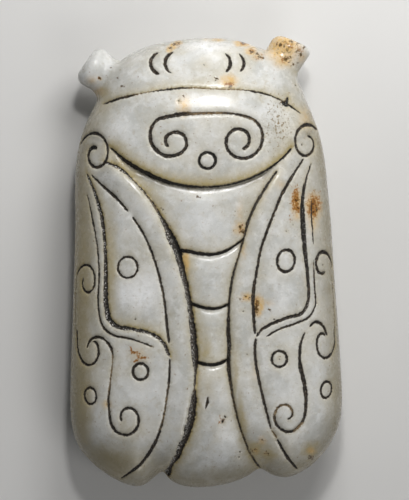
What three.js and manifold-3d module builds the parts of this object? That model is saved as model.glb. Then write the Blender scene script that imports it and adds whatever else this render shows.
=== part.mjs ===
// A jade cicada, carved from one pebble of pale nephrite and lying on its underside.
// Millimetres, +X across the wings, +Y towards the head, +Z up out of the carved face.
import * as THREE from "three";
import { mergeVertices } from "three/addons/utils/BufferGeometryUtils.js";
import Module from "manifold-3d";

const wasm = await Module();
wasm.setup();

// Driving dimensions of the pebble
const bodyLength = 82;
const bodyWidth = 49.6;
const crownHeight = 11.6;
const bellyHeight = 7.4;
const crownReach = 19;
const bellyReach = 17;
const crownRoundness = 2.3;
const bellyRoundness = 2.1;
const rimInset = 2.2;

// Relief of the carved face
const abdomenSink = 1.15;
const abdomenBulge = 0.7;
const segmentDrop = 0.5;
const segmentRamp = 3.2;
const collarRise = 0.55;
const collarFullness = 0.86;
const bandRise = 0.4;
const bandValley = 0.3;
const lipGap = 0.7;
const hornStart = 11;
const hornEnd = 17;
const hornSink = 0.25;

// Eye stubs
const eyeRadius = 3.6;
const eyeThickness = 6.6;
const eyeCentreHeight = 8.2;
const leftEyeReach = 4.85;
const rightEyeReach = 4.75;
const eyeRoot = 5;

// Wheel-cut grooves: width at the surface and depth
const fineCut = { width: 0.4, depth: 0.32 };
const lineCut = { width: 0.55, depth: 0.42 };
const scrollCut = { width: 0.64, depth: 0.46 };
const deepCut = { width: 0.85, depth: 0.62 };
const wideCut = { width: 1.25, depth: 0.8 };
const cutLift = 0.7;
const cutShoulder = 0.12;
const cutTolerance = 0.19;
const longestCutStep = 8;
const shortestCutStep = 0.2;
const lineStep = 3;
const ringSteps = 12;
const curlStep = 40;

// The layout drawing that the carving follows, as shares of the body's width and length
const drawing = { left: 70, right: 342.4, head: 37.3, tail: 487.6 };

function across(x) {
  const middle = (drawing.left + drawing.right) / 2;
  return ((x - middle) / (drawing.right - drawing.left)) * bodyWidth;
}

function lengthwise(y) {
  const middle = (drawing.head + drawing.tail) / 2;
  return ((middle - y) / (drawing.tail - drawing.head)) * bodyLength;
}

// A smooth function through places on the drawing, read along one axis and giving the other.
function smoothThrough(from, to, places) {
  const pairs = places.map((place) => [from(place), to(place)]).sort((a, b) => a[0] - b[0]);
  const starts = pairs.map((pair) => pair[0]);
  const values = pairs.map((pair) => pair[1]);
  const curve = new THREE.CubicInterpolant(starts, values, 1);
  return (t) => curve.evaluate(t)[0];
}

const placeX = ([x]) => across(x);
const placeY = ([, y]) => lengthwise(y);
const lengthLine = (...places) => smoothThrough(placeY, placeX, places);
const crossLine = (...places) => smoothThrough(placeX, placeY, places);

// Outline in plan: the head's arch, the two sides and the three lobes of the tail
const headArch = crossLine([97.5, 99], [103.5, 84], [111, 71], [121, 60], [145, 46.5], [175, 40],
  [207, 37.3], [235, 39.5], [266, 50], [278, 56], [289, 64.5], [296.5, 76]);
const leftSide = lengthLine([97.5, 99], [84, 127], [76.5, 157], [74.8, 230], [72, 325],
  [70, 392], [70.8, 420], [75.8, 441.5], [82, 452.5], [96, 467.2]);
const rightSide = lengthLine([296.5, 76], [305, 96], [321, 139], [329.2, 200], [335, 280],
  [341, 365], [342.3, 403], [340.5, 421], [335, 436], [325, 452.5], [311.5, 466.3]);
const tailLobes = crossLine([96, 467.2], [112, 478.2], [125, 484.4], [137.5, 486.9], [147, 483.9],
  [157, 475.5], [163, 472.4], [168.6, 478.9], [180.7, 485.6], [206, 487.6], [235, 482],
  [248, 476.4], [260.5, 469.2], [271, 474.8], [285, 478], [297, 475], [311.5, 466.3]);
const leftNeck = [97.5, 99];
const rightNeck = [296.5, 76];
const leftHip = [96, 467.2];
const rightHip = [311.5, 466.3];

// Long lines of the carving, from the head to the tail
const leftEdge = lengthLine([152, 62], [136, 100], [115, 140], [113, 158], [121, 169.5],
  [132, 179.5], [146, 194.5], [158, 212], [168, 231], [176.5, 250], [187, 290], [193, 333],
  [195.3, 372], [193.7, 400], [185.5, 437], [177.5, 456], [168.5, 471]);
const rightEdge = lengthLine([262, 62], [276, 100], [287, 150], [277, 171], [267, 185.5],
  [256, 204], [248, 222], [240, 251], [230.3, 290], [228.3, 330], [230, 379], [237, 416],
  [242.5, 434], [250, 453], [258, 466]);
const leftVein = lengthLine([143, 62], [124, 100], [99, 148], [98, 175], [117, 199], [131, 215],
  [143, 233], [152, 253], [164.3, 300], [169, 343], [169.4, 377], [161.5, 426], [141, 464.5]);
const rightVein = lengthLine([271, 62], [288, 100], [304, 150], [294, 174], [275, 211],
  [260.5, 251], [253.2, 293], [255, 338], [257.5, 373], [269, 422], [286, 462]);

// Lines across the body: the head's rear edge, the collar and the edges of the belly rings
const headLine = crossLine([90, 108], [103, 104], [118, 99], [140, 94], [165, 90], [190, 87.3],
  [212, 89.5], [248, 90.8], [268, 95], [286, 103], [301, 113.5], [310, 122]);
const collar = crossLine([76, 137], [96, 139], [110, 147.5], [124, 160], [143, 171.5],
  [165, 181.3], [185, 186], [207, 187.3], [229, 184.8], [250, 178.5], [270, 168], [283, 158],
  [292, 148.5], [306, 136], [326, 132]);
const ringOne = crossLine([76, 236], [150, 247], [183, 250.7], [210, 254.5], [234, 246],
  [244, 238.8], [328, 222]);
const ringTwo = crossLine([72, 298], [191.5, 303.5], [212, 308.5], [228, 304], [335, 290]);
const ringThree = crossLine([72, 352], [197, 361.5], [213, 364.5], [228, 358.5], [340, 345]);

// Height of a rounded rim at a distance in from the outline, from 0 to 1.
function rimRise(distance, reach, roundness) {
  const outside = 1 - Math.min(distance / reach, 1);
  return Math.pow(1 - Math.pow(outside, roundness), 1 / roundness);
}

// The outline as a ring of points: over the head, down the right, round the tail and back up.
const sideSteps = 48;

function stretch(from, to, pointAt) {
  return Array.from({ length: sideSteps }, (_, i) => {
    return pointAt(THREE.MathUtils.lerp(from, to, i / sideSteps));
  });
}

const outline = [
  ...stretch(across(leftNeck[0]), across(rightNeck[0]), (x) => new THREE.Vector2(x, headArch(x))),
  ...stretch(lengthwise(rightNeck[1]), lengthwise(rightHip[1]), (y) => new THREE.Vector2(rightSide(y), y)),
  ...stretch(across(rightHip[0]), across(leftHip[0]), (x) => new THREE.Vector2(x, tailLobes(x))),
  ...stretch(lengthwise(leftHip[1]), lengthwise(leftNeck[1]), (y) => new THREE.Vector2(leftSide(y), y)),
];

function rimDistance(x, y) {
  const point = new THREE.Vector2(x, y);
  let nearest = Infinity;
  outline.forEach((start, i) => {
    const end = outline[(i + 1) % outline.length];
    const side = end.clone().sub(start);
    const share = point.clone().sub(start).dot(side) / side.lengthSq();
    const foot = start.clone().addScaledVector(side, THREE.MathUtils.clamp(share, 0, 1));
    nearest = Math.min(nearest, foot.distanceTo(point));
  });
  return nearest;
}

// Low relief of the carved face above or below the plain pebble.
const halfLip = lipGap / 2;
const smooth = THREE.MathUtils.smoothstep;

// How far a place is past a line's groove, from 0 to 1.
const pastLip = (distance) => smooth(distance, -halfLip, halfLip);

function abdomenShare(x, y) {
  return pastLip(collar(x) - y) * pastLip(x - leftEdge(y)) * pastLip(rightEdge(y) - x);
}

// The abdomen lies below the wings, arched from side to side, and each ring dips under the last.
function abdomenDepth(x, y) {
  const middle = (leftEdge(y) + rightEdge(y)) / 2;
  const side = Math.min(Math.abs(x - middle) / (rightEdge(y) - middle), 1);
  const horn = 1 - (1 - hornSink) * smooth(Math.abs(x - middle), hornStart, hornEnd);
  const dips = [collar, ringOne, ringTwo, ringThree].map((line) => {
    const past = line(x) - y;
    return pastLip(past) * (1 - smooth(past, halfLip, halfLip + segmentRamp));
  });
  return horn * (abdomenSink - abdomenBulge * (1 - side * side) + segmentDrop * Math.max(...dips));
}

// The wing's inner band stands up as a rounded ridge between its vein and its edge.
function bandHeight(x, y) {
  const shares = [[leftVein(y), leftEdge(y)], [rightVein(y), rightEdge(y)]]
    .map(([vein, edge]) => (x - vein) / (edge - vein))
    .filter((share) => share > 0 && share < 1);
  const ridge = shares.length ? bandRise * (1 - Math.pow(2 * shares[0] - 1, 2)) : 0;
  return (ridge - bandValley) * smooth(collar(x) - y, -segmentRamp, segmentRamp);
}

// The collar swells behind the head and stays proud where its rear line drops away.
function collarHeight(x, y) {
  const share = (headLine(x) - y) / (headLine(x) - collar(x));
  const inside = share > 0 && share < 1;
  return inside ? collarRise * Math.sqrt(Math.sin(Math.PI * collarFullness * share)) : 0;
}

function relief(x, y) {
  const abdomen = abdomenShare(x, y);
  const beforeCollar = 1 - pastLip(collar(x) - y);
  return collarHeight(x, y) * beforeCollar + bandHeight(x, y) * (1 - abdomen)
    - abdomenDepth(x, y) * abdomen;
}

function crownAt(x, y) {
  const distance = rimDistance(x, y);
  const fade = smooth(distance, 0, rimInset);
  const crown = crownHeight * rimRise(distance, crownReach, crownRoundness);
  return bellyHeight + crown + fade * relief(x, y);
}

function plainCrownAt(x, y) {
  return bellyHeight + crownHeight * rimRise(rimDistance(x, y), crownReach, crownRoundness);
}

function bellyAt(x, y) {
  return bellyHeight * (1 - rimRise(rimDistance(x, y), bellyReach, bellyRoundness));
}

// A line partway between two others, for the courses of facets between the carved lines.
const between = (a, b, share) => (t) => THREE.MathUtils.lerp(a(t), b(t), share);
const shifted = (line, by) => (t) => line(t) + by;

function courses(keys) {
  const lines = [];
  keys.forEach(({ line, splits = [] }, i) => {
    lines.push(line);
    for (const share of splits) {
      lines.push(between(line, keys[i + 1].line, share));
    }
  });
  return lines;
}

const rails = courses([
  { line: shifted(leftSide, rimInset), splits: [0.16, 0.36, 0.66] },
  { line: leftVein, splits: [0.5] },
  { line: shifted(leftEdge, -halfLip) },
  { line: shifted(leftEdge, halfLip), splits: [0.25, 0.5, 0.75] },
  { line: shifted(rightEdge, -halfLip) },
  { line: shifted(rightEdge, halfLip), splits: [0.5] },
  { line: rightVein, splits: [0.34, 0.64, 0.84] },
  { line: shifted(rightSide, -rimInset) },
]);
const rows = courses([
  { line: shifted(headArch, -rimInset), splits: [0.25, 0.6] },
  { line: headLine, splits: [0.2, 0.5, 0.8] },
  { line: shifted(collar, halfLip) },
  { line: shifted(collar, -halfLip), splits: [0.25, 0.5, 0.75] },
  { line: shifted(ringOne, halfLip) },
  { line: shifted(ringOne, -halfLip), splits: [0.42] },
  { line: shifted(ringTwo, halfLip) },
  { line: shifted(ringTwo, -halfLip), splits: [0.42] },
  { line: shifted(ringThree, halfLip) },
  { line: shifted(ringThree, -halfLip), splits: [0.17, 0.37, 0.57, 0.77, 0.92] },
  { line: shifted(tailLobes, rimInset) },
]);

// The place where a rail crosses a row.
function crossing(rail, row) {
  let low = -bodyLength;
  let high = bodyLength;
  const halvings = 40;
  for (let i = 0; i < halvings; i++) {
    const y = (low + high) / 2;
    if (row(rail(y)) > y) {
      low = y;
    } else {
      high = y;
    }
  }
  return new THREE.Vector2(rail(low), low);
}

// The point of the outline that belongs to a place on the border of the facet courses.
function outlinePoint(column, row, places) {
  const lastColumn = rails.length - 1;
  const lastRow = rows.length - 1;
  const share = (value, from, to) => (value - from) / (to - from);
  if (column === 0 || column === lastColumn) {
    const [side, neck, hip] = column === 0
      ? [leftSide, leftNeck, leftHip]
      : [rightSide, rightNeck, rightHip];
    const t = share(places[row][column].y, places[0][column].y, places[lastRow][column].y);
    const y = THREE.MathUtils.lerp(lengthwise(neck[1]), lengthwise(hip[1]), t);
    return new THREE.Vector2(side(y), y);
  }
  const [end, left, right] = row === 0
    ? [headArch, leftNeck, rightNeck]
    : [tailLobes, leftHip, rightHip];
  const t = share(places[row][column].x, places[row][0].x, places[row][lastColumn].x);
  const x = THREE.MathUtils.lerp(across(left[0]), across(right[0]), t);
  return new THREE.Vector2(x, end(x));
}

function mergedCopy(geometry) {
  const bare = geometry.clone();
  bare.deleteAttribute("normal");
  bare.deleteAttribute("uv");
  return mergeVertices(bare, 1e-4);
}

// A closed surface as a solid, with its faces turned outwards.
function solidFrom(geometry) {
  const merged = mergedCopy(geometry);
  const make = (triVerts) => new wasm.Manifold(new wasm.Mesh({
    numProp: 3,
    vertProperties: merged.attributes.position.array,
    triVerts,
  }));
  const order = new Uint32Array(merged.index.array);
  const solid = make(order);
  return solid.volume() > 0 ? solid : make(order.reverse());
}

// The pebble with its low relief: a box of facets drawn out to the outline and the crown.
function pebbleFacets() {
  const columns = rails.length - 1;
  const courseCount = rows.length - 1;
  const rimLevels = 4;
  const places = rows.map((row) => rails.map((rail) => crossing(rail, row)));
  const box = new THREE.BoxGeometry(2, 2, 2, columns, courseCount, rimLevels);
  const corner = box.attributes.position;
  for (let i = 0; i < corner.count; i++) {
    const column = Math.round(((corner.getX(i) + 1) / 2) * columns);
    const row = Math.round(((1 - corner.getY(i)) / 2) * courseCount);
    const level = corner.getZ(i);
    let place = places[row][column];
    if (column === 0 || column === columns || row === 0 || row === courseCount) {
      const inward = level * level;
      place = outlinePoint(column, row, places).lerp(place, inward);
    }
    const height = Math.abs(level) < 1e-6
      ? bellyHeight
      : level > 0 ? crownAt(place.x, place.y) : bellyAt(place.x, place.y);
    corner.setXYZ(i, place.x, place.y, height);
  }
  return mergedCopy(box);
}

const pebble = pebbleFacets();
const pebbleSurface = new THREE.Mesh(pebble, new THREE.MeshBasicMaterial());

// The two faces of the pebble: where to look at each from, its plain height and its height.
const clearHeight = 100;
const carvedFace = { facing: 1, plainAt: plainCrownAt, heightAt: crownAt };
const underside = { facing: -1, plainAt: bellyAt, heightAt: bellyAt };

// The height of the facets themselves, so that every cut keeps its depth.
function facetHeight({ facing, heightAt }, x, y) {
  const eyePoint = new THREE.Vector3(x, y, facing * clearHeight);
  const look = new THREE.Raycaster(eyePoint, new THREE.Vector3(0, 0, -facing));
  const [first] = look.intersectObject(pebbleSurface);
  return first ? first.point.z : heightAt(x, y);
}

// A stub eye: a turned form, flattened a little, that leans out from the head. Its end is askew.
function eye(rootX, rootY, lean, endLean, profile) {
  const sides = 14;
  const turned = new THREE.LatheGeometry(profile.map(([r, y]) => new THREE.Vector2(r, y)), sides);
  const corner = turned.attributes.position;
  const reach = profile.at(-1)[1];
  const skew = Math.tan(THREE.MathUtils.degToRad(endLean - lean));
  for (let i = 0; i < corner.count; i++) {
    const share = THREE.MathUtils.clamp(corner.getY(i) / reach, 0, 1);
    corner.setY(i, corner.getY(i) + skew * corner.getX(i) * share);
  }
  turned.scale(1, 1, eyeThickness / (2 * eyeRadius));
  turned.rotateZ(THREE.MathUtils.degToRad(lean));
  turned.translate(across(rootX), lengthwise(rootY), eyeCentreHeight);
  return solidFrom(turned);
}

// Places along a curl of the drawing: a spiral whose turns may be taller than they are wide.
function curl(centre, stretch, [startRadius, endRadius], [startAngle, endAngle]) {
  const steps = Math.ceil(Math.abs(endAngle - startAngle) / curlStep);
  const places = [];
  for (let i = 0; i <= steps; i++) {
    const t = i / steps;
    const radius = THREE.MathUtils.lerp(startRadius, endRadius, t);
    const angle = THREE.MathUtils.degToRad(THREE.MathUtils.lerp(startAngle, endAngle, t));
    places.push([
      centre[0] + radius * Math.cos(angle),
      centre[1] - stretch * radius * Math.sin(angle),
    ]);
  }
  return places;
}

// Points along a line that the facets also follow, between two places on the drawing.
function walk(from, to, pointAt) {
  const steps = Math.ceil(Math.abs(to - from) / lineStep);
  return Array.from({ length: steps + 1 }, (_, i) => pointAt(THREE.MathUtils.lerp(from, to, i / steps)));
}

function alongLine(line, fromY, toY) {
  return walk(lengthwise(fromY), lengthwise(toY), (y) => new THREE.Vector3(line(y), y, 0));
}

function acrossLine(line, fromX, toX) {
  return walk(across(fromX), across(toX), (x) => new THREE.Vector3(x, line(x), 0));
}

const asPoints = (places) => places.map(([x, y]) => new THREE.Vector3(across(x), lengthwise(y), 0));

// The section of a cut: its point in the stone, its two shoulders and a ridge above the surface.
function cutSection(cut, turn, share) {
  const shoulder = (cut.width / 2) * share * (1 + cutShoulder / cut.depth);
  const point = -cut.depth * share;
  const corners = [[0, point], [shoulder, cutShoulder], [0, cutLift], [-shoulder, cutShoulder]];
  const quarters = Math.round(turn / (Math.PI / 2));
  return corners[(quarters + corners.length) % corners.length];
}

// Places the section of a cut square to its line and to the plain surface.
function placeSection(face, point, tangent, [aside, above]) {
  const { plainAt, facing } = face;
  const reach = halfLip;
  const slopeX = (plainAt(point.x + reach, point.y) - plainAt(point.x - reach, point.y)) / (2 * reach);
  const slopeY = (plainAt(point.x, point.y + reach) - plainAt(point.x, point.y - reach)) / (2 * reach);
  const normal = new THREE.Vector3(-slopeX, -slopeY, 1).multiplyScalar(facing).normalize();
  const run = new THREE.Vector3(tangent.x, tangent.y, slopeX * tangent.x + slopeY * tangent.y);
  const sideways = run.normalize().cross(normal).normalize();
  return new THREE.Vector3(point.x, point.y, facetHeight(face, point.x, point.y))
    .addScaledVector(sideways, aside)
    .addScaledVector(normal, above);
}

// Shares of a curve's length between which a straight cut keeps to the line and the surface.
function cutBreaks(curve, face, from, to) {
  const [start, middle, end] = [from, (from + to) / 2, to].map((t) => {
    const point = curve.getPointAt(t);
    return point.setZ(facetHeight(face, point.x, point.y));
  });
  const miss = start.clone().lerp(end, 0.5).distanceTo(middle);
  const close = miss < cutTolerance && start.distanceTo(end) < longestCutStep;
  if (close || (to - from) * curve.getLength() < shortestCutStep) {
    return [to];
  }
  const half = (from + to) / 2;
  return [...cutBreaks(curve, face, from, half), ...cutBreaks(curve, face, half, to)];
}

// A V-shaped cutter along a curve, narrower at its ends.
function cutter(points, cut, { taper = [0.5, 1, 0.5], face = carvedFace } = {}) {
  const curve = new THREE.CatmullRomCurve3(points, false, "centripetal");
  const breaks = [0, ...cutBreaks(curve, face, 0, 0.5), ...cutBreaks(curve, face, 0.5, 1)];
  const steps = breaks.length - 1;
  const widths = new THREE.CubicInterpolant(taper.map((_, i) => i / (taper.length - 1)), taper, 1);
  const tube = new THREE.CylinderGeometry(1, 1, 1, 4, steps);
  const corner = tube.attributes.position;
  for (let i = 0; i < corner.count; i++) {
    const t = breaks[Math.round((0.5 - corner.getY(i)) * steps)];
    const middleOfCap = Math.hypot(corner.getX(i), corner.getZ(i)) < 0.5;
    const turn = Math.atan2(corner.getX(i), corner.getZ(i));
    const section = middleOfCap ? [0, 0] : cutSection(cut, turn, widths.evaluate(t)[0]);
    const point = curve.getPointAt(t);
    const place = placeSection(face, point, curve.getTangentAt(t), section);
    corner.setXYZ(i, place.x, place.y, place.z);
  }
  return solidFrom(tube);
}

// A tube-drilled ring: a closed V-shaped cutter on an ellipse.
function ringCutter(centreX, centreY, radiusX, radiusY, cut) {
  const torusRadius = 2;
  const ring = new THREE.TorusGeometry(torusRadius, 1, 4, ringSteps);
  const corner = ring.attributes.position;
  const scaleX = bodyWidth / (drawing.right - drawing.left);
  const scaleY = bodyLength / (drawing.tail - drawing.head);
  for (let i = 0; i < corner.count; i++) {
    const angle = Math.atan2(corner.getY(i), corner.getX(i));
    const out = Math.hypot(corner.getX(i), corner.getY(i)) - torusRadius;
    const turn = Math.atan2(out, -corner.getZ(i));
    const point = new THREE.Vector3(
      across(centreX) + radiusX * scaleX * Math.cos(angle),
      lengthwise(centreY) + radiusY * scaleY * Math.sin(angle),
      0,
    );
    const tangent = new THREE.Vector3(-Math.sin(angle) * radiusX, Math.cos(angle) * radiusY, 0);
    const place = placeSection(carvedFace, point, tangent, cutSection(cut, turn, 1));
    corner.setXYZ(i, place.x, place.y, place.z);
  }
  return solidFrom(ring);
}

const cutters = [];

function carve(places, cut, options) {
  cutters.push(cutter(asPoints(places), cut, options));
}

// Head: its rear edge and two pairs of small crescents
cutters.push(cutter(acrossLine(headLine, 103, 301), lineCut, { taper: [0.7, 0.8, 0.7, 0.8, 0.7] }));
const crescentRadius = 11.5;
for (const [x, from, to] of [[161.8, 108, 256], [176.4, 104, 252], [219, -54, 56], [232.6, -50, 56]]) {
  carve(curl([x, 62.8], 1, [crescentRadius, crescentRadius], [from, to]), scrollCut);
}

// Collar: the double scroll, its ring and the deep line below
const scrollTop = [[182, 114.8], [206, 113.6], [232, 114]];
carve([
  ...curl([173.9, 142.2], 0.92, [7.2, 14.1], [-133, -424]),
  ...curl([167.1, 132.1], 1.14, [22, 13], [-75, -252]),
  ...scrollTop,
  ...curl([243.1, 135.9], 1.07, [17.9, 21.5], [74, -90]),
  ...curl([239.9, 141.5], 1.05, [15.5, 7.5], [-110, -434]),
], scrollCut);
cutters.push(ringCutter(207.3, 160.9, 8.1, 8.1, lineCut));
cutters.push(cutter(acrossLine(collar, 110, 292), deepCut, { taper: [0.3, 1, 1, 1, 0.9, 0.6, 0.4] }));

// Shoulder curls
carve(curl([95, 153.9], 1.36, [17.1, 3.8], [155, -293]), scrollCut);
carve(curl([307.1, 143], 1.35, [14.8, 5.1], [46, 445]), scrollCut);

// Wings: edges against the abdomen, veins, cells and the thin lines beside them
const leftEdgeTop = asPoints([[105, 162.5], [112, 165]]);
const leftEdgeCut = [...leftEdgeTop, ...alongLine(leftEdge, 169.5, 471)];
cutters.push(cutter(leftEdgeCut, wideCut, { taper: [0.45, 0.6, 1, 0.7, 0.9, 0.6, 1, 0.9] }));
cutters.push(cutter(alongLine(rightEdge, 171, 465.5), deepCut, { taper: [0.7, 0.7, 0.9, 0.7, 0.6] }));
const leftVeinTop = [[91, 175], [103, 186.5], [117, 199], [131, 215], [143, 233], [152, 253],
  [159.5, 277], [164.3, 300], [167, 325], [169, 343]];
const leftVeinEnd = [[169.8, 357], [169.4, 377], [161.5, 426], [152.5, 448], [141, 464.5], [121, 479]];
carve(leftVeinTop, lineCut);
carve(leftVeinEnd, lineCut, { taper: [0.5, 0.9, 1.3] });
carve([[304, 158.5], [282.5, 193.5], [267, 231], [256.5, 272], [253.2, 293], [254.8, 334]], lineCut);
carve([[255.5, 338], [254.8, 352], [262.5, 396], [269, 422]], lineCut);
carve([[278, 442.5], [286, 455.5], [297.5, 469.5]], lineCut);
const leftCell = [[86.5, 174], [94, 192], [100.5, 214], [104.3, 240], [105.4, 270], [105.6, 300],
  [108.3, 318], [117, 326.3], [135, 329.3], [152, 333.8], [163, 342], [169.6, 356]];
const rightCell = [[311.5, 163], [303, 199], [303.5, 225], [308.2, 277], [308.5, 300],
  [302.5, 312.7], [286, 318], [270, 324.5], [256.3, 336.5]];
carve(leftCell, deepCut, { taper: [0.4, 0.9, 1, 0.6] });
carve(rightCell, deepCut, { taper: [0.3, 0.8, 0.9, 0.6] });
carve([[87, 194], [97, 247], [98.8, 275], [97.9, 304], [102, 325], [112, 334.5], [132, 339],
  [154, 347]], fineCut);
carve([[312, 200], [311.8, 215], [313.5, 244]], fineCut);
carve([[313.8, 260], [315.8, 304], [309.5, 316.5], [295, 323.5], [266, 336.5]], fineCut);

// Wings: curls at their outer edges, hooks, tendrils and rings
carve(curl([86.5, 281.6], 1.72, [11, 3.8], [165, -219]), lineCut);
carve(curl([323.2, 264.8], 1.65, [9.3, 4.8], [-15, 300]), lineCut);
carve([[76.5, 330], ...curl([91.1, 347.5], 1.63, [14, 3.9], [183, 429])], lineCut);
carve([[334.5, 328], ...curl([324, 341.1], 1.81, [11.4, 3.2], [-10, -299])], lineCut);
carve([...curl([91.5, 355.9], 1.44, [7.4, 21], [132, 6]), [110, 383], [108.3, 400],
  ...curl([127, 418.2], 1.14, [17.3, 5.6], [177, 567])], lineCut);
carve(curl([318, 345.1], 1.96, [10.7, 12.5], [27, 132]), lineCut);
carve([[305, 331.5], [300.5, 346], [300.2, 363], [304.5, 383], [306.3, 402], [303.5, 420],
  ...curl([286.3, 414.7], 1.13, [15.9, 3.3], [-57, -437])], scrollCut);
for (const [x, y, radiusX, radiusY] of [[127.7, 267.4, 9.9, 10.6], [286, 260.8, 8.8, 11],
  [140.6, 371.2, 7.7, 8.2], [279.3, 358.7, 7.6, 8], [90, 395.8, 5.9, 8.2], [326.7, 389.6, 5.4, 8.3]]) {
  cutters.push(ringCutter(x, y, radiusX, radiusY, lineCut));
}

// Abdomen: the edges of its rings and one short nick near the tail
cutters.push(cutter(acrossLine(ringOne, 183, 244), deepCut, { taper: [1, 0.9, 0.4] }));
cutters.push(cutter(acrossLine(ringTwo, 191.5, 228), lineCut));
cutters.push(cutter(acrossLine(ringThree, 197, 228), lineCut));
carve([[208.3, 396.5], [207, 403], [205.3, 409]], lineCut);

// Underside: one plain line behind the head
carve([[110, 118], [150, 132], [206, 138], [262, 130], [304, 112]], deepCut, { face: underside });

function cicada() {
  const leftEye = eye(107, 76.8, 54, 55, [
    [0, -eyeRoot], [eyeRadius * 1.05, -eyeRoot], [eyeRadius * 1.04, -0.4], [eyeRadius * 0.97, 1.1],
    [eyeRadius * 1.04, 2.9], [eyeRadius * 0.95, leftEyeReach - 0.85],
    [eyeRadius * 0.72, leftEyeReach - 0.25], [0, leftEyeReach],
  ]);
  const rightEye = eye(281.6, 61.75, -32, -23, [
    [0, -eyeRoot], [eyeRadius * 0.97, -eyeRoot], [eyeRadius * 1.03, rightEyeReach - 1.6],
    [eyeRadius * 0.94, rightEyeReach - 0.7], [eyeRadius * 0.7, rightEyeReach - 0.2],
    [0, rightEyeReach],
  ]);
  let stone = solidFrom(pebble).add(leftEye).add(rightEye);
  for (const tool of cutters) {
    stone = stone.subtract(tool);
  }
  const mesh = stone.getMesh();
  const geometry = new THREE.BufferGeometry();
  geometry.setAttribute("position", new THREE.BufferAttribute(mesh.vertProperties, 3));
  geometry.setIndex(new THREE.BufferAttribute(mesh.triVerts, 1));
  geometry.computeBoundingBox();
  const centre = geometry.boundingBox.getCenter(new THREE.Vector3());
  geometry.translate(-centre.x, -centre.y, -geometry.boundingBox.min.z);
  return geometry;
}

const jade = new THREE.MeshStandardMaterial({ color: 0xb9bdaf, roughness: 0.28, metalness: 0 });
const body = new THREE.Mesh(cicada(), jade);
body.name = "jade_cicada";

const figure = new THREE.Group();
figure.add(body);

export default figure;
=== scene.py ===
"""A jade cicada: one polished pebble with wheel-cut lines, drilled rings and low relief."""

import math

import bmesh
import bpy
import numpy as np
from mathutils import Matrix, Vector, kdtree, noise


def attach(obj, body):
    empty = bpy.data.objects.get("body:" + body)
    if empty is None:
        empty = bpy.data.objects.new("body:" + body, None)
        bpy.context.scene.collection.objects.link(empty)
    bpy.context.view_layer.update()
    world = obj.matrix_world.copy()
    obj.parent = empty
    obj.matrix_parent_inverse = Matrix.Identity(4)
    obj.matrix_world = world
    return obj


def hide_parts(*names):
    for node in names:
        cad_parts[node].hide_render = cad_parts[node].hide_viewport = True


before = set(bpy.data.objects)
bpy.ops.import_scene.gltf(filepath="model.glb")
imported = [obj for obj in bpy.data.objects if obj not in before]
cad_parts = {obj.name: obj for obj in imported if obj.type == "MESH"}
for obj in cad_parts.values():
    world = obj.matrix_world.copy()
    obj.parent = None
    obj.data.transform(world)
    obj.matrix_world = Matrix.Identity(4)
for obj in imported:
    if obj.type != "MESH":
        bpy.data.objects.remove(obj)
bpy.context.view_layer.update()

# Millimetres from here on, +X across the wings, +Y towards the head, +Z out of the carved face.
MILLIMETRE = 0.001

# The pebble
BODY_LENGTH = 82
BODY_WIDTH = 49.6
CROWN_HEIGHT = 11.6
BELLY_HEIGHT = 7.4
CROWN_REACH = 19
BELLY_REACH = 17
CROWN_ROUNDNESS = 2.3
BELLY_ROUNDNESS = 2.1
RIM_INSET = 2.2

# Low relief of the carved face
ABDOMEN_SINK = 1.15
ABDOMEN_BULGE = 0.7
SEGMENT_DROP = 0.4
SEGMENT_RAMP = 3.2
SEGMENT_BEVEL = 0.95
SEGMENT_EDGE = 0.3
COLLAR_RISE = 0.54
COLLAR_FULLNESS = 0.86
COLLAR_MIDDLE = -0.95
COLLAR_FADE = (13, 16.5)
COLLAR_SWELL = 0.6
BAND_RISE = 0.45
BAND_VALLEY = 0.3
BAND_SHOULDER = 2.2
BAND_BEVEL = 1.1
LIP_GAP = 0.7
HORN_START = 10.5
HORN_END = 15.5
HORN_SINK = 0.1
POLISH_WAVES = 0.05
RELIEF_FADE = 2

# The layout drawing that the carving follows
DRAWING_LEFT, DRAWING_RIGHT = 70, 342.4
DRAWING_HEAD, DRAWING_TAIL = 37.3, 487.6
DRAWING_UNIT = BODY_WIDTH / (DRAWING_RIGHT - DRAWING_LEFT)


def across(x):
    """A place across the drawing, in millimetres from the middle line."""
    return (np.asarray(x, float) - (DRAWING_LEFT + DRAWING_RIGHT) / 2) * DRAWING_UNIT


def lengthwise(y):
    """A place down the drawing, in millimetres from the middle towards the head."""
    middle = (DRAWING_HEAD + DRAWING_TAIL) / 2
    return (middle - np.asarray(y, float)) * BODY_LENGTH / (DRAWING_TAIL - DRAWING_HEAD)


def between(run, knots, leans, at):
    """The smooth curve through knots with a lean at each, read at places along the run."""
    i = np.clip(np.searchsorted(run, at) - 1, 0, len(run) - 2)
    span = run[i + 1] - run[i]
    p = (at - run[i]) / span
    if knots.ndim > 1:
        span, p = span[:, None], p[:, None]
    start = (2 * p**3 - 3 * p**2 + 1) * knots[i] + (p**3 - 2 * p**2 + p) * span * leans[i]
    end = (3 * p**2 - 2 * p**3) * knots[i + 1] + (p**3 - p**2) * span * leans[i + 1]
    return start + end


def smooth_through(run, rise):
    """A smooth function that passes through the places given by two lists."""
    order = np.argsort(run)
    run, rise = run[order], rise[order]
    slopes = np.diff(rise) / np.diff(run)
    leans = np.concatenate([slopes[:1], (slopes[:-1] + slopes[1:]) / 2, slopes[-1:]])
    return lambda at: between(run, rise, leans, np.clip(at, run[0], run[-1]))


def length_line(*places):
    """A line from the head to the tail: its place across the body at each height."""
    x, y = np.transpose(places)
    return smooth_through(lengthwise(y), across(x))


def cross_line(*places):
    """A line from wing to wing: its place along the body at each width."""
    x, y = np.transpose(places)
    return smooth_through(across(x), lengthwise(y))


def smoothstep(value, low, high):
    share = np.clip((value - low) / (high - low), 0, 1)
    return share * share * (3 - 2 * share)


def mix(a, b, share):
    return a + (b - a) * share


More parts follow.
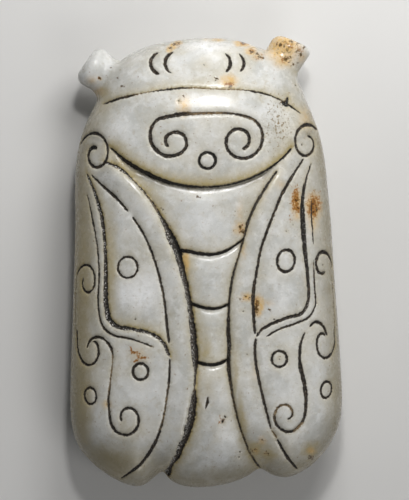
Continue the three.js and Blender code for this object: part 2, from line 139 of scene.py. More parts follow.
# Outline in plan: the head's arch, the two sides and the three lobes of the tail
LEFT_NECK, RIGHT_NECK = (97.5, 99), (296.5, 76)
LEFT_HIP, RIGHT_HIP = (96, 467.2), (311.5, 466.3)
head_arch = cross_line(
    LEFT_NECK, (103.5, 84), (111, 71), (121, 60), (145, 46.5), (175, 40), (207, 37.3), (235, 39.5),
    (266, 50), (278, 56), (289, 64.5), RIGHT_NECK)
left_side = length_line(
    LEFT_NECK, (84, 127), (76.5, 157), (74.8, 230), (72, 325), (70, 392), (70.8, 420), (75.8, 441.5),
    (82, 452.5), LEFT_HIP)
right_side = length_line(
    RIGHT_NECK, (305, 96), (321, 139), (329.2, 200), (335, 280), (341, 365), (342.3, 403), (340.5, 421),
    (335, 436), (325, 452.5), RIGHT_HIP)
tail_lobes = cross_line(
    LEFT_HIP, (112, 478.2), (125, 484.4), (137.5, 486.9), (147, 483.9), (157, 475.5), (163, 472.4),
    (168.6, 478.9), (180.7, 485.6), (206, 487.6), (235, 482), (248, 476.4), (260.5, 469.2), (271, 474.8),
    (285, 478), (297, 475), RIGHT_HIP)

# Long lines of the carving, from the head to the tail
left_edge = length_line(
    (152, 62), (136, 100), (115, 140), (113, 158), (121, 169.5), (132, 179.5), (146, 194.5), (158, 212),
    (168, 231), (176.5, 250), (187, 290), (193, 333), (195.3, 372), (193.7, 400), (185.5, 437),
    (177.5, 456), (168.5, 471))
right_edge = length_line(
    (262, 62), (276, 100), (287, 150), (277, 171), (267, 185.5), (256, 204), (248, 222), (240, 251),
    (230.3, 290), (228.3, 330), (230, 379), (237, 416), (242.5, 434), (250, 453), (258, 466))
left_vein = length_line(
    (143, 62), (124, 100), (99, 148), (98, 175), (117, 199), (131, 215), (143, 233), (152, 253),
    (164.3, 300), (169, 343), (169.4, 377), (161.5, 426), (141, 464.5))
right_vein = length_line(
    (271, 62), (288, 100), (304, 150), (294, 174), (275, 211), (260.5, 251), (253.2, 293), (255, 338),
    (257.5, 373), (269, 422), (286, 462))

# Lines across the body: the head's rear edge, the collar and the edges of the belly rings
head_line = cross_line(
    (90, 108), (103, 104), (118, 99), (140, 94), (165, 90), (190, 87.3), (212, 89.5), (248, 90.8),
    (268, 95), (286, 103), (301, 113.5), (310, 122))
COLLAR_PLACES = [
    (110, 147.5), (124, 160), (143, 171.5), (165, 181.3), (185, 186), (207, 187.3), (229, 184.8),
    (250, 178.5), (270, 168), (283, 158), (292, 148.5),
]
collar = cross_line((76, 137), (96, 139), *COLLAR_PLACES, (306, 136), (326, 132))
ring_one = cross_line(
    (76, 236), (150, 247), (183, 250.7), (210, 254.5), (234, 246), (244, 238.8), (328, 222))
ring_two = cross_line(
    (72, 298), (191.5, 303.5), (212, 308.5), (228, 304), (335, 290))
ring_three = cross_line(
    (72, 352), (197, 361.5), (213, 364.5), (228, 358.5), (340, 345))
OUTLINE_POINTS = 150


def outline_ring():
    """The outline as points: over the head, down the right, round the tail and back up."""
    share = np.arange(OUTLINE_POINTS) / OUTLINE_POINTS
    head_x = mix(across(LEFT_NECK[0]), across(RIGHT_NECK[0]), share)
    right_y = mix(lengthwise(RIGHT_NECK[1]), lengthwise(RIGHT_HIP[1]), share)
    tail_x = mix(across(RIGHT_HIP[0]), across(LEFT_HIP[0]), share)
    left_y = mix(lengthwise(LEFT_HIP[1]), lengthwise(LEFT_NECK[1]), share)
    return np.concatenate([
        np.column_stack([head_x, head_arch(head_x)]),
        np.column_stack([right_side(right_y), right_y]),
        np.column_stack([tail_x, tail_lobes(tail_x)]),
        np.column_stack([left_side(left_y), left_y]),
    ])


class RimMap:
    """Distance in from the outline, kept on a fine grid, so that it can be read quickly."""

    pitch = 0.2
    margin = 6
    blur_width = 11
    blur_rounds = 4
    blur_fade = (2, 7)

    def __init__(self, ring):
        self.low = ring.min(0) - self.margin
        counts = np.ceil((ring.max(0) + self.margin - self.low) / self.pitch).astype(int)
        x, y = [self.low[i] + self.pitch * np.arange(counts[i] + 1) for i in (0, 1)]
        place_x, place_y = np.meshgrid(x, y, indexing="ij")
        nearest = np.full(place_x.shape, np.inf)
        inside = np.zeros(place_x.shape, bool)
        for start, end in zip(ring, np.roll(ring, -1, 0)):
            side = end - start
            to_x, to_y = place_x - start[0], place_y - start[1]
            share = np.clip((to_x * side[0] + to_y * side[1]) / (side @ side), 0, 1)
            nearest = np.minimum(nearest, (to_x - share * side[0])**2 + (to_y - share * side[1])**2)
            if start[1] != end[1]:
                spans = (start[1] > place_y) != (end[1] > place_y)
                inside ^= spans & (to_x < side[0] * to_y / side[1])
        distance = np.sqrt(nearest)
        self.sharp = np.where(inside, distance, -distance)
        self.soft = self.softened()

    def softened(self):
        """The same distances with the creases along the middle rounded off."""
        soft, width = self.sharp, self.blur_width
        for axis in (0, 1) * self.blur_rounds:
            pad = [(0, 0), (0, 0)]
            pad[axis] = (width // 2, width // 2)
            runs = np.cumsum(np.pad(soft, pad, mode="edge"), axis=axis)
            runs = np.insert(runs, 0, 0, axis=axis)
            size = soft.shape[axis]
            soft = (np.take(runs, range(width, width + size), axis)
                    - np.take(runs, range(size), axis)) / width
        return mix(self.sharp, soft, smoothstep(self.sharp, *self.blur_fade))

    def read(self, values, x, y):
        column = np.clip((x - self.low[0]) / self.pitch, 0, values.shape[0] - 1.001)
        row = np.clip((y - self.low[1]) / self.pitch, 0, values.shape[1] - 1.001)
        i, j = column.astype(int), row.astype(int)
        s, t = column - i, row - j
        near = mix(values[i, j], values[i + 1, j], s)
        far = mix(values[i, j + 1], values[i + 1, j + 1], s)
        return mix(near, far, t)


rim_map = RimMap(outline_ring())


def rim_distance(x, y):
    return rim_map.read(rim_map.sharp, x, y)


def soft_rim(x, y):
    return rim_map.read(rim_map.soft, x, y)


def dome(x, y, reach, roundness):
    """The pebble's rounding from its outline inwards, from 0 to 1."""
    outside = 1 - np.clip(soft_rim(x, y) / reach, 0, 1)
    return (1 - outside**roundness)**(1 / roundness)


def crown_at(x, y):
    """Height of the plain pebble's upper face."""
    return BELLY_HEIGHT + CROWN_HEIGHT * dome(x, y, CROWN_REACH, CROWN_ROUNDNESS)


def belly_at(x, y):
    """Height of the plain pebble's lower face."""
    return BELLY_HEIGHT * (1 - dome(x, y, BELLY_REACH, BELLY_ROUNDNESS))


def pebble_depth(points):
    """Signed distance from the plain pebble's surface, negative inside."""
    x, y, z = points.T
    above = z > BELLY_HEIGHT
    reach = np.where(above, CROWN_REACH, BELLY_REACH)
    height = np.where(above, CROWN_HEIGHT, BELLY_HEIGHT)
    power = np.where(above, CROWN_ROUNDNESS, BELLY_ROUNDNESS)
    out = np.clip(1 - soft_rim(x, y) / reach, 0, None)
    up = np.abs(z - BELLY_HEIGHT) / height
    size = np.maximum((out**power + up**power)**(1 / power), 1e-6)
    slope = np.hypot((out / size)**(power - 1) / reach, (up / size)**(power - 1) / height)
    return (size - 1) / slope


# Stub eyes: a flattened round bar with a slightly domed end, which leans out of the head
EYES = [
    {
        "root": (107, 76.8), "lean": 54, "end_lean": 55, "length": 4.82, "end_round": 1.5,
        "dome": 30, "profile": ([-6, -0.4, 1.1, 2.7, 4.8], [3.8, 3.75, 3.5, 3.74, 3.8]),
    },
    {
        "root": (281.6, 61.75), "lean": -32, "end_lean": -23, "length": 4.57, "end_round": 1.35,
        "dome": 20, "profile": ([-6, 0, 3, 4.8], [3.4, 3.53, 3.66, 3.75]),
    },
]
EYE_CENTRE_HEIGHT = 8.2
EYE_ROOT = 5
EYE_FLATNESS = 1.12
EYE_FILLET = 0.28
EYE_FILLET_BEHIND = 1.3
EYE_FILLET_ABOVE = 2.2
BEHIND_EYE = (1, 3)
ABOVE_EYE = (9.2, 11.2)


def eye_frame(eye, key="lean"):
    """The eye's root and the way that it points."""
    lean = math.radians(eye[key])
    root = np.array([across(eye["root"][0]), lengthwise(eye["root"][1]), EYE_CENTRE_HEIGHT])
    return root, np.array([-math.sin(lean), math.cos(lean), 0])


def eye_reading(eye, points):
    """Distance out from the eye's bar, distance past its end and distance along it."""
    root, out = eye_frame(eye)
    _, end_out = eye_frame(eye, "end_lean")
    from_root = points - root
    along = from_root @ out
    aside = from_root - along[:, None] * out
    aside[:, 2] *= EYE_FLATNESS
    off_axis = np.linalg.norm(aside, axis=1)
    wall = off_axis - np.interp(along, *eye["profile"])
    end = from_root @ end_out - eye["length"] + off_axis**2 / (2 * eye["dome"])
    return wall, end, along


def eye_depth(eye, points):
    """Signed distance from a stub eye with a rounded end."""
    rounding = eye["end_round"]
    wall, end, along = eye_reading(eye, points)
    wall, end = wall + rounding, end + rounding
    outside = np.hypot(np.clip(wall, 0, None), np.clip(end, 0, None))
    stub = np.minimum(np.maximum(wall, end), 0) + outside - rounding
    return np.maximum(stub, -EYE_ROOT - along)


def eye_fillet(eye, points):
    """The fillet at the eye's root: tight in front, wider behind it and on its upper side."""
    root, out = eye_frame(eye)
    behind = (points - root)[:, :2] @ np.array([abs(out[1]) * np.sign(out[0]), -abs(out[0])])
    fillet = mix(EYE_FILLET, EYE_FILLET_BEHIND, smoothstep(behind, *BEHIND_EYE))
    return mix(fillet, EYE_FILLET_ABOVE, smoothstep(points[:, 2], *ABOVE_EYE))


def stone_depth(points):
    """Signed distance from the pebble with its eyes, run together by fillets."""
    depth = pebble_depth(points)
    for eye in EYES:
        other = eye_depth(eye, points)
        fillet = eye_fillet(eye, points)
        share = np.clip(0.5 + 0.5 * (depth - other) / fillet, 0, 1)
        depth = mix(depth, other, share) - fillet * share * (1 - share)
    return depth


LONGEST_MOVE = 1.5
LEAST_SLOPE = 0.25
SLOPE_STEP = 0.08


def slope_of(depth, points):
    """The direction straight out of a form at each point."""
    parts = [depth(points + axis) - depth(points - axis) for axis in np.eye(3) * SLOPE_STEP]
    return np.column_stack(parts) / (2 * SLOPE_STEP)


def onto(depth, points, rounds=3):
    """The points moved onto a form's surface."""
    for _ in range(rounds):
        slope = slope_of(depth, points)
        size = np.maximum((slope**2).sum(1), LEAST_SLOPE)
        step = np.clip(depth(points), -LONGEST_MOVE, LONGEST_MOVE)
        points = points - slope * (step / size)[:, None]
    return points


# Wheel-cut lines. Places and widths are in units of the drawing.
CUT_STEP = 0.22
CUT_MARGIN = 0.4
CUT_TAPER = 0.3
CUT_END = 0.02
CURL_STEP = 20
RING_PLACES = 25
CURVE_FINENESS = 60


def curl(centre, stretch, radii, angles):
    """Places along a spiral whose turns may be taller than they are wide."""
    steps = math.ceil(abs(angles[1] - angles[0]) / CURL_STEP)
    share = np.linspace(0, 1, steps + 1)
    radius = mix(*radii, share)
    angle = np.radians(mix(*angles, share))
    x = centre[0] + radius * np.cos(angle)
    y = centre[1] - stretch * radius * np.sin(angle)
    return list(zip(x, y))


def ring(x, y, radius_x, radius_y, lean=0):
    """Places round a drilled ring."""
    turn = np.radians(np.linspace(0, 360, RING_PLACES))
    wide, tall = radius_x * np.cos(turn), radius_y * np.sin(turn)
    tilt = math.radians(lean)
    return list(zip(x + wide * math.cos(tilt) - tall * math.sin(tilt),
                    y + wide * math.sin(tilt) + tall * math.cos(tilt)))


def lengths_along(points):
    return np.concatenate([[0], np.cumsum(np.linalg.norm(np.diff(points, axis=0), axis=1))])


def rounded(places):
    """Points every CUT_STEP along a smooth curve through the places, in millimetres."""
    x, y = np.transpose(places)
    knots = np.column_stack([across(x), lengthwise(y)])
    sides = np.diff(knots, axis=0)
    spans = np.sqrt(np.linalg.norm(sides, axis=1))
    slopes = sides / spans[:, None]
    weight = (spans[1:] / (spans[:-1] + spans[1:]))[:, None]
    middle = slopes[:-1] * weight + slopes[1:] * (1 - weight)
    leans = np.concatenate([slopes[:1], middle, slopes[-1:]])
    if np.allclose(knots[0], knots[-1]):
        leans[0] = leans[-1] = (slopes[0] + slopes[-1]) / 2
    at = np.concatenate([[0], np.cumsum(spans)])
    points = between(at, knots, leans, np.linspace(0, at[-1], CURVE_FINENESS * len(knots)))
    run = lengths_along(points)
    steps = max(int(round(run[-1] / CUT_STEP)), 2)
    even = np.linspace(0, run[-1], steps + 1)
    return np.column_stack([np.interp(even, run, part) for part in points.T])


cuts = []


def along_stroke(values, count):
    """Values given at even shares of a stroke's length, for each of its points."""
    values = np.atleast_1d(values)
    return np.interp(np.linspace(0, 1, count), np.linspace(0, 1, len(values)), values)


def cut(places, widths, soil=75, ragged=0.1, grit_and_glints=(0.3, 0.3), halo=(0.27, 0.23), lean=0.0,
        under=False, closed=False):
    """One line of the carving: where it runs and how wide it is at even shares of its length.

    soil is how full of dark residue it is, in per cent at even shares of its length. The grit pair is how
    pale and crumbly the residue is and how many painted glints it holds, and halo how strongly the stone
    beside it is tinted, each on the left and on the right of the line; the paler, glinting side is mostly
    the wall that faces the light, so it is partly painted light. lean moves the lowest part of the cut to
    the left."""
    plan = rounded(places)
    height = belly_at(*plan.T) if under else crown_at(*plan.T)
    width = along_stroke((np.atleast_1d(widths) + CUT_MARGIN) * DRAWING_UNIT, len(plan))
    if not closed:
        run = np.arange(len(plan)) * CUT_STEP
        from_end = np.minimum(run, run[-1] - run)
        width = width * np.sqrt(np.clip(from_end / CUT_TAPER, CUT_END, 1))
    cuts.append({
        "points": np.column_stack([plan, height]), "half": width / 2,
        "soil": along_stroke(np.atleast_1d(soil) / 100, len(plan)), "ragged": ragged,
        "grit_and_glints": grit_and_glints, "halo": halo, "lean": lean, "under": under,
    })


def pit(x, y, length, angle, width):
    """A small pit in the surface."""
    reach_x = length / 2 * math.cos(math.radians(angle))
    reach_y = length / 2 * math.sin(math.radians(angle))
    cut([(x - reach_x, y - reach_y), (x + reach_x, y + reach_y)], width, 85, halo=(0.35, 0.35))


# Head: its rear edge with a chip above it, and two pairs of small crescents
cut([(103, 104), (118, 99), (140, 94), (165, 90), (190, 88), (212, 89.3), (248, 90.8), (268, 95),
    (286, 103), (301, 113.5)],
    [1, 2.4, 2.2, 0.9, 0.8, 1.5, 1.7, 1.4, 1, 0.7, 0.7, 0.7, 1.2, 1.9, 1.3, 1.2, 2, 1.2],
    [50, 80, 60, 25, 35, 70, 60, 40, 30, 15, 10, 15, 50, 70, 55, 50, 100, 50], ragged=0.14,
    halo=(0.7, 0.25))
cut([(281.5, 102.6), (285, 104), (289, 106)], [2, 4.4, 2.6], 100)
cut([(287, 104), (287.6, 100), (288.2, 96.8)], [4.6, 3.4, 1.4], 100, halo=(0.8, 0.8))
CRESCENTS = [
    (161.8, (110, 256), [3.4, 3.2, 3.2, 3]), (176.4, (106, 250), [3.2, 3.2, 2.8, 0.6]),
    (219, (-54, 56), [2.4, 3, 3, 2]), (232.6, (-50, 56), [2.2, 3.3, 3.3, 2]),
]
for x, turn, widths in CRESCENTS:
    cut(curl((x, 62.8), 1, (11.5, 11.5), turn), widths)

# Collar: the double scroll, its ring and the deep line below
cut([*curl((173.9, 142.2), 0.92, (7.2, 14.1), (-133, -424)),
    *curl((167.1, 132.1), 1.14, (22, 13), (-75, -252)), (182, 114.8), (206, 113.6), (232, 114),
    *curl((243.1, 135.9), 1.07, (17.9, 21.5), (74, -90)),
    *curl((239.9, 141.5), 1.05, (15.5, 7.5), (-110, -434))],
    [3, 3.4, 3.2, 3.4, 3, 4, 2.6, 1.8, 2.8, 2.8, 2.8, 3, 3.2, 2.8],
    [90, 80, 75, 90, 70, 85, 80, 35, 30, 60, 45, 70, 85, 90, 75, 90, 80], grit_and_glints=(0.3, 0.4))
cut(ring(207.3, 160.9, 8.1, 8.1), 2.6, 100, closed=True)
cut(COLLAR_PLACES, [1.2, 3.5, 3.9, 3.2, 1.9, 1.4, 1.5, 1.6, 1.8, 2],
    [80, 90, 100, 100, 100, 100, 100, 90], ragged=0.11, grit_and_glints=(0, 0.5), halo=(1.5, 0.4), lean=0.35)

# Shoulder curls
cut(curl((95, 153.9), 1.36, (17.1, 3.8), (155, -293)), [3, 3, 2.2, 2.2, 2.6, 3, 4.6],
    [70, 90, 70, 80, 60, 90, 100], halo=(0.4, 0.4))
cut(curl((307.1, 143), 1.35, (14.8, 5.1), (46, 445)), [4.2, 2.8, 2.2, 2.8, 2.6, 2.2],
    [90, 60, 80, 90, 70, 80], halo=(0.35, 0.35))
pit(302, 145, 2.4, 70, 2.2)

# Wings: edges against the abdomen, veins, cells and the thin lines beside them
cut([(105, 162.5), (112, 165), (121, 169.5), (132, 179.5), (146, 194.5), (158, 212), (168, 231),
    (176.5, 250), (182, 269), (187, 290), (190.8, 313), (193, 333), (195, 358), (195.3, 372),
    (194.7, 384), (193.7, 400), (191, 418), (185.5, 437), (180, 449), (177.3, 456), (174, 461),
    (171.7, 463.8), (169.8, 467.5), (168, 472), (165.5, 476.5)],
    [2, 2.8, 2.2, 1.3, 1.4, 2, 3, 5.2, 8.4, 7.4, 5.8, 4.7, 4.6, 4.6, 5.2, 6, 6.2, 6, 2, 1.8, 6, 6.8, 6.8,
    6, 5.4, 3.2, 7.5],
    [60, 80, 60, 50, 50, 40, 65, 90, 100, 100, 90, 80, 85, 80, 90, 80, 90, 85, 60, 50, 85, 90, 90, 85, 90,
    80, 90], ragged=0.14, grit_and_glints=(0.3, 1.0), halo=(1.1, 0.4), lean=0.45)
cut([(277, 171), (267, 185.5), (256, 204), (248, 222), (244.5, 235), (240, 251), (234, 271), (230.3, 290),
    (228.8, 310), (228.3, 330), (229, 346), (228.3, 360), (230, 379), (233, 397), (237, 416),
    (242.5, 434), (250, 453), (258, 466), (260.5, 469.5)],
    [1.6, 2.4, 2.6, 2.8, 1.6, 1.2, 2, 2.2, 1.6, 3.2, 3.9, 3.7, 2.6, 1.4, 1.4, 1.3, 1.4, 1.6],
    [80, 80, 65, 75, 50, 45, 65, 75, 60, 80, 80, 70, 50, 40, 50, 40, 40, 70], ragged=0.11,
    grit_and_glints=(0.6, 0.4), halo=(0.6, 0.6))
cut([(91, 175), (103, 186.5), (117, 199), (128, 211.5)], [1, 2.3, 2.7, 1.8], [60, 85, 80, 70])
cut([(132.5, 217), (143, 233), (152, 253), (159.5, 277), (164.3, 300), (167, 325), (169, 343)],
    [1.6, 1.9, 2, 2.2, 1.9, 2.5, 2], [70, 80, 75, 70, 50, 80, 60])
cut([(169.8, 358), (169.4, 377), (166.5, 400), (161.5, 426), (152.5, 448), (141, 464.5), (130, 473),
    (121, 479)], [1.5, 2.2, 1.5, 1.5, 2.4, 3.8, 3.4, 1.4], [50, 70, 40, 30, 70, 95, 90, 60])
cut([(304, 158.5), (294, 174), (282.5, 193.5), (275, 211), (267, 231), (260.5, 251), (256.5, 272),
    (253.2, 293), (253.5, 315), (254.8, 334)], [1.4, 2.8, 2.9, 2.3, 2.6, 2.4, 2.4, 3.2, 2.9, 2.4],
    [60, 80, 75, 70, 80, 60, 70, 60, 70, 70])
cut([(255.5, 338), (254.8, 352), (257.5, 373), (262.5, 396), (269, 422), (271, 429)],
    [2.2, 2.6, 2.5, 2.4, 2.4, 1.6], [70, 80, 70, 65, 70, 50])
cut([(271.5, 430), (277, 438)], 1.2, 20, halo=(0.5, 0.5))
cut([(277, 439), (286, 455.5), (297.5, 469.5)], [1.8, 2.8, 1.8], [60, 85, 70])
cut([(86.5, 174), (94, 192), (100.5, 214), (104.3, 240), (105.4, 270), (105.6, 300), (108.3, 318),
    (117, 326.3), (135, 329.3), (152, 333.8), (163, 342), (169.6, 356)],
    [1.6, 2.8, 3.4, 3, 2.9, 3.9, 4.4, 5.6, 3.8, 2.8, 2.8, 2.6],
    [80, 85, 80, 80, 80, 85, 90, 100, 85, 75, 70, 80], ragged=0.13, grit_and_glints=(0.5, 0.8), halo=(1.1, 0.4),
    lean=0.3)
cut([(311.5, 163), (306.5, 180), (303, 199), (303.5, 225), (305.7, 253), (308.2, 277), (308.5, 300),
    (302.5, 312.7), (286, 318), (270, 324.5), (260, 331), (256.3, 336.5)],
    [1, 2.4, 3.8, 5.4, 5.2, 4.4, 3.7, 3.1, 2.9, 2.9, 2.9, 2.4],
    [60, 85, 100, 100, 95, 90, 90, 85, 75, 80, 80, 70], ragged=0.12, grit_and_glints=(0.5, 0.1), halo=(0.25, 0.45),
    lean=-0.2)
cut([(87, 194), (92, 219), (97, 247), (98.8, 275), (97.9, 304), (102, 325), (112, 334.5), (132, 339),
    (154, 347)], [0.8, 1.5, 1.4, 1.4, 1.5, 1.8, 2, 1.6, 1.2], [50, 60, 55, 60, 60, 70, 75, 60, 50],
    halo=(0.3, 0.35))
cut([(312, 200), (311.8, 215), (313, 232), (313.5, 244)], [1, 1.5, 1.5, 1], 65)
cut([(313.8, 260), (315, 288), (315.8, 304), (309.5, 316.5), (295, 323.5), (279, 329), (266, 336.5)],
    [1, 1.5, 1.5, 1.8, 1.8, 1.5, 1.1], [50, 65, 60, 70, 70, 60])

# Wings: curls at their outer edges, hooks and tendrils
cut(curl((86.5, 281.6), 1.72, (11, 3.8), (165, -219)), [1.6, 2, 1.9, 1.9, 2.2, 1.8],
    [60, 75, 60, 70, 80, 70], halo=(0.35, 0.35))
cut(curl((323.2, 264.8), 1.65, (9.3, 4.8), (-15, 300)), [2.6, 3.2, 3.2, 3, 2.8], [70, 85, 80, 70, 80])
pit(323, 265, 1.6, 80, 1.6)
cut([(76.5, 330), *curl((91.1, 347.5), 1.63, (14, 3.9), (183, 429))], [1.5, 2.3, 2.5, 2.3, 2.3, 2],
    [60, 75, 80, 65, 80], halo=(0.35, 0.35))
cut([(334.5, 328), *curl((324, 341.1), 1.81, (11.4, 3.2), (-10, -299))], [1.6, 2.3, 2.5, 2.5, 2.3],
    [60, 80, 85, 70, 80])
cut([*curl((91.5, 355.9), 1.44, (7.4, 21), (132, 6)), (110, 383), (108.3, 400),
    *curl((127, 418.2), 1.14, (17.3, 5.6), (177, 567))],
    [2.1, 2.5, 2.3, 1, 0.9, 2.2, 2.5, 2.7, 2.5, 2.4, 2.3, 2],
    [70, 80, 60, 20, 15, 60, 80, 85, 75, 80, 70, 80])
cut(curl((318, 345.1), 1.96, (10.7, 12.5), (27, 132)), [2.8, 3, 3, 2], [80, 90, 80, 60])
cut([(305, 331.5), (300.5, 346), (300.2, 363), (304.5, 383), (306.3, 402), (303.5, 420),
    *curl((286.3, 414.7), 1.13, (15.9, 3.3), (-57, -437))], [1.1, 3, 4, 4.3, 3.4, 2.6, 2.3, 2.3, 2, 1.9],
    [50, 85, 90, 85, 80, 75, 85, 80, 20, 80, 70, 30, 25, 40, 60])
pit(279.3, 358.7, 1.4, 20, 1.4)

# Wings: drilled rings, as place, half width, half height and lean, then line width and soil
DRILLED = [
    ((127.7, 267.4, 9.9, 10.6), 1.9, 65), ((286, 260.8, 8.8, 11, 8), 2.5, [80, 60, 90, 80]),
    ((140.6, 371.2, 7.7, 8.2), 2.4, [70, 90, 70, 70]),
    ((279.3, 358.7, 7.6, 8), 2.1, [70, 70, 90, 70]),
    ((90, 395.8, 5.9, 8.2, -8), 2.1, [70, 90, 60, 70]),
    ((326.7, 389.6, 5.4, 8.3, 10), 2.2, [80, 90, 80, 80]),
]
for hole, width, soil in DRILLED:
    cut(ring(*hole), width, soil, closed=True)

# Wings: faint lines close to their outer edges
cut([(76.2, 277), (75.2, 305), (75.6, 330), (77, 344)], 0.7, 40, halo=(0.3, 0.3))
cut([(332, 275), (334, 300), (335.4, 331)], 0.7, 45, halo=(0.3, 0.3))

# Abdomen: the edges of its rings and one short nick near the tail
cut([(180, 250), (197, 253), (210, 254.5), (223, 252), (234, 246), (244, 238.8)], [4, 3.3, 2.8, 2.3, 1.4],
    [100, 100, 100, 90, 80], halo=(0.7, 0.2), lean=0.3)
cut([(190, 303), (201, 306.8), (212, 308.5), (221, 307.3), (228, 304)], [3, 2.9, 2.6, 2],
    [90, 100, 100, 80], halo=(0.6, 0.2), lean=0.3)
cut([(197, 361.5), (205, 363.8), (214, 364.3), (222, 362.3), (228, 358.5)], [3.2, 3.4, 3, 2.2],
    [90, 100, 100, 80], halo=(0.6, 0.2), lean=0.3)
cut([(207.9, 396.2), (207, 403), (205.3, 408.7)], [1.4, 2.4, 1])

# Small pits in the polish: place, length, angle and width
PITS = [
    (204, 65, 2.4, 40, 0.7), (222.5, 421.5, 3.5, 118, 1.6), (225, 416.5, 3, 60, 1.3),
    (240, 452, 2, 20, 1.3), (239, 457, 1.6, 80, 1.2), (243, 311, 1.4, 0, 1.1), (274, 319, 1.6, 30, 1.1),
    (247, 354, 1.5, 90, 1), (135, 319, 1.5, 10, 1.1), (261, 96, 1.2, 0, 1), (286, 231, 1.4, 60, 1),
    (293, 225, 1.2, 0, 0.9), (163, 210, 1.8, 130, 1), (166, 213.5, 1.2, 0, 0.9),
    (179, 101.5, 1.6, 20, 1.1), (216, 79, 2, 150, 1.1), (295.7, 85, 1.4, 0, 1),
]
for hollow in PITS:
    pit(*hollow)

# Underside: one line behind the head and the plain edges of the wings
cut([(110, 118), (150, 132), (206, 138), (262, 130), (304, 112)], [2, 4, 4, 4, 2], under=True)
cut([(112, 150), (124, 230), (128, 330), (118, 420)], [1.6, 3.2, 3.2, 1.6], under=True)
cut([(300, 148), (290, 230), (286, 330), (297, 418)], [1.6, 3.2, 3.2, 1.6], under=True)

# Stains on the carved face, with some marks of painted shade and painted highlight among them: place,
# half width, half height and strength in per cent
AMBER = [
    (282, 46, 14, 13, 90), (284, 60, 11, 7, 60), (228.5, 81.5, 7, 5.5, 85), (184, 106, 6, 9, 60),
    (169.5, 49, 3, 2.6, 80), (173, 46, 3, 2.4, 85), (178, 42.5, 3.6, 2.2, 85), (258, 56, 6.5, 4.5, 50),
    (243, 42.5, 7, 3, 110), (218, 39.5, 6, 2, 60), (251, 51, 5, 4, 80), (185, 263, 3.5, 10, 90),
    (247, 297, 6, 4, 65), (258, 305.5, 4.5, 7.5, 105), (264, 301, 4, 3, 30), (302, 57, 6, 8, 45),
    (240, 228, 6, 7, 60), (139, 355, 11, 8, 35), (281, 185, 6, 5, 35), (296, 203, 4.5, 11, 75),
    (313, 207, 6.5, 12, 80), (297, 214, 5, 7, 55), (255, 372, 5, 12, 30), (262, 440, 4, 4, 50),
    (107, 404, 5, 4, 50), (207, 39, 5, 2, 35), (305, 118, 6, 12, 40), (240, 212, 4, 14, 35),
    (99.5, 78, 2.2, 1.8, 60), (243, 250, 3, 8, 40), (313, 222, 5, 10, 50), (98, 91, 7, 5, 40),
    (92, 80, 6, 5, 40), (255.5, 450.5, 3.4, 3, 55), (266, 453, 3, 2.4, 45), (311, 450.5, 4, 3, 60),
    (268, 303, 7, 4, 35),
]
RUST = [
    (295.5, 200, 3.4, 10, 100), (297.5, 208, 2.6, 4, 90), (313, 205, 4.6, 9, 100),
    (313, 212, 4.4, 5, 105), (318, 204, 3, 8, 75), (256.3, 306, 1.8, 8, 80), (229, 85, 4, 2.6, 75),
    (248, 298, 2.4, 1.6, 45), (243, 299, 2, 1.6, 40), (290, 46, 3, 3, 90), (281, 44, 4, 3, 70),
    (284, 59, 4, 3, 70), (300, 50, 3, 5, 60), (251, 51.5, 2.6, 2, 85), (131, 349, 1.3, 3, 100),
    (134.5, 352, 3.4, 1.1, 100), (139, 355.5, 1.6, 3, 100), (144, 357.5, 3.6, 1, 100),
    (136, 360.5, 2.4, 1.3, 90), (222, 420, 3, 4, 60), (290, 219, 2, 3, 50), (99.3, 77.5, 1.8, 1.6, 80),
    (243.5, 43, 3.4, 1.8, 90), (176, 44, 3.4, 1.8, 75), (260, 57, 4, 2.6, 65), (240.5, 228, 3, 3, 75),
]
UMBER = [
    (229, 87.5, 2.6, 1.5, 85), (243.5, 42.8, 2, 1.1, 80), (99.8, 77.5, 1.5, 1.3, 95),
    (175, 44.2, 2.6, 1.4, 90), (170.5, 47.8, 1.7, 1.2, 90), (178.5, 42.3, 1.8, 1.1, 90),
    (257, 53, 1.7, 1.5, 85), (259.5, 56.5, 2.1, 1.7, 90), (263.6, 57.6, 1.5, 1.2, 85),
    (183.5, 96.2, 1.3, 1.3, 80), (251.4, 52, 1.7, 1.5, 85), (240, 227, 2, 2, 85),
    (243, 232, 1.9, 1.9, 85), (111, 67.5, 1.2, 0.8, 95), (117.5, 78, 1.4, 1, 75),
    (122.5, 86, 1.8, 1.2, 80), (280, 44.5, 2.6, 2.6, 75), (284.5, 45.8, 1.6, 1.8, 70),
    (279, 49, 1.6, 1.3, 75), (297, 51.6, 1.3, 1.3, 90), (298.5, 43.4, 1.7, 1.3, 85),
    (301, 54, 1.3, 1.4, 80), (290.4, 56.4, 1.7, 1.2, 75), (286, 59.3, 2.1, 2, 80),
    (289.4, 62, 1.4, 1.2, 80), (297.3, 62.3, 1.5, 1.2, 80), (293.3, 64.3, 1.5, 1.2, 80),
    (304, 47, 1.6, 1.3, 70), (292, 41, 1.6, 1.2, 75), (287, 52, 1.4, 1.1, 75), (316, 209, 1.5, 2.4, 75),
    (217, 78.5, 2, 1.6, 85), (216, 81.5, 1.3, 1, 80), (297.5, 200, 1.1, 2.4, 75),
    (256.3, 308, 1.1, 6, 90), (270, 309, 1.3, 1.2, 90), (311, 458, 2.6, 2.4, 85),
    (107, 404, 2.4, 1.8, 50), (223, 419, 1.6, 3.4, 65), (129, 306, 1.2, 1, 70), (262, 440, 2, 2, 65),
    (254, 450, 3, 2.2, 70), (266, 453, 3, 2, 75), (198, 197, 1.5, 1.5, 70), (161, 209, 1.5, 1.3, 75),
    (284, 103, 4, 2.4, 80), (240, 299, 1.4, 1.1, 75), (246, 296, 1.5, 1.2, 70),
    (250, 297.5, 1.3, 1.1, 70), (258.5, 303, 1.6, 4, 70),
]
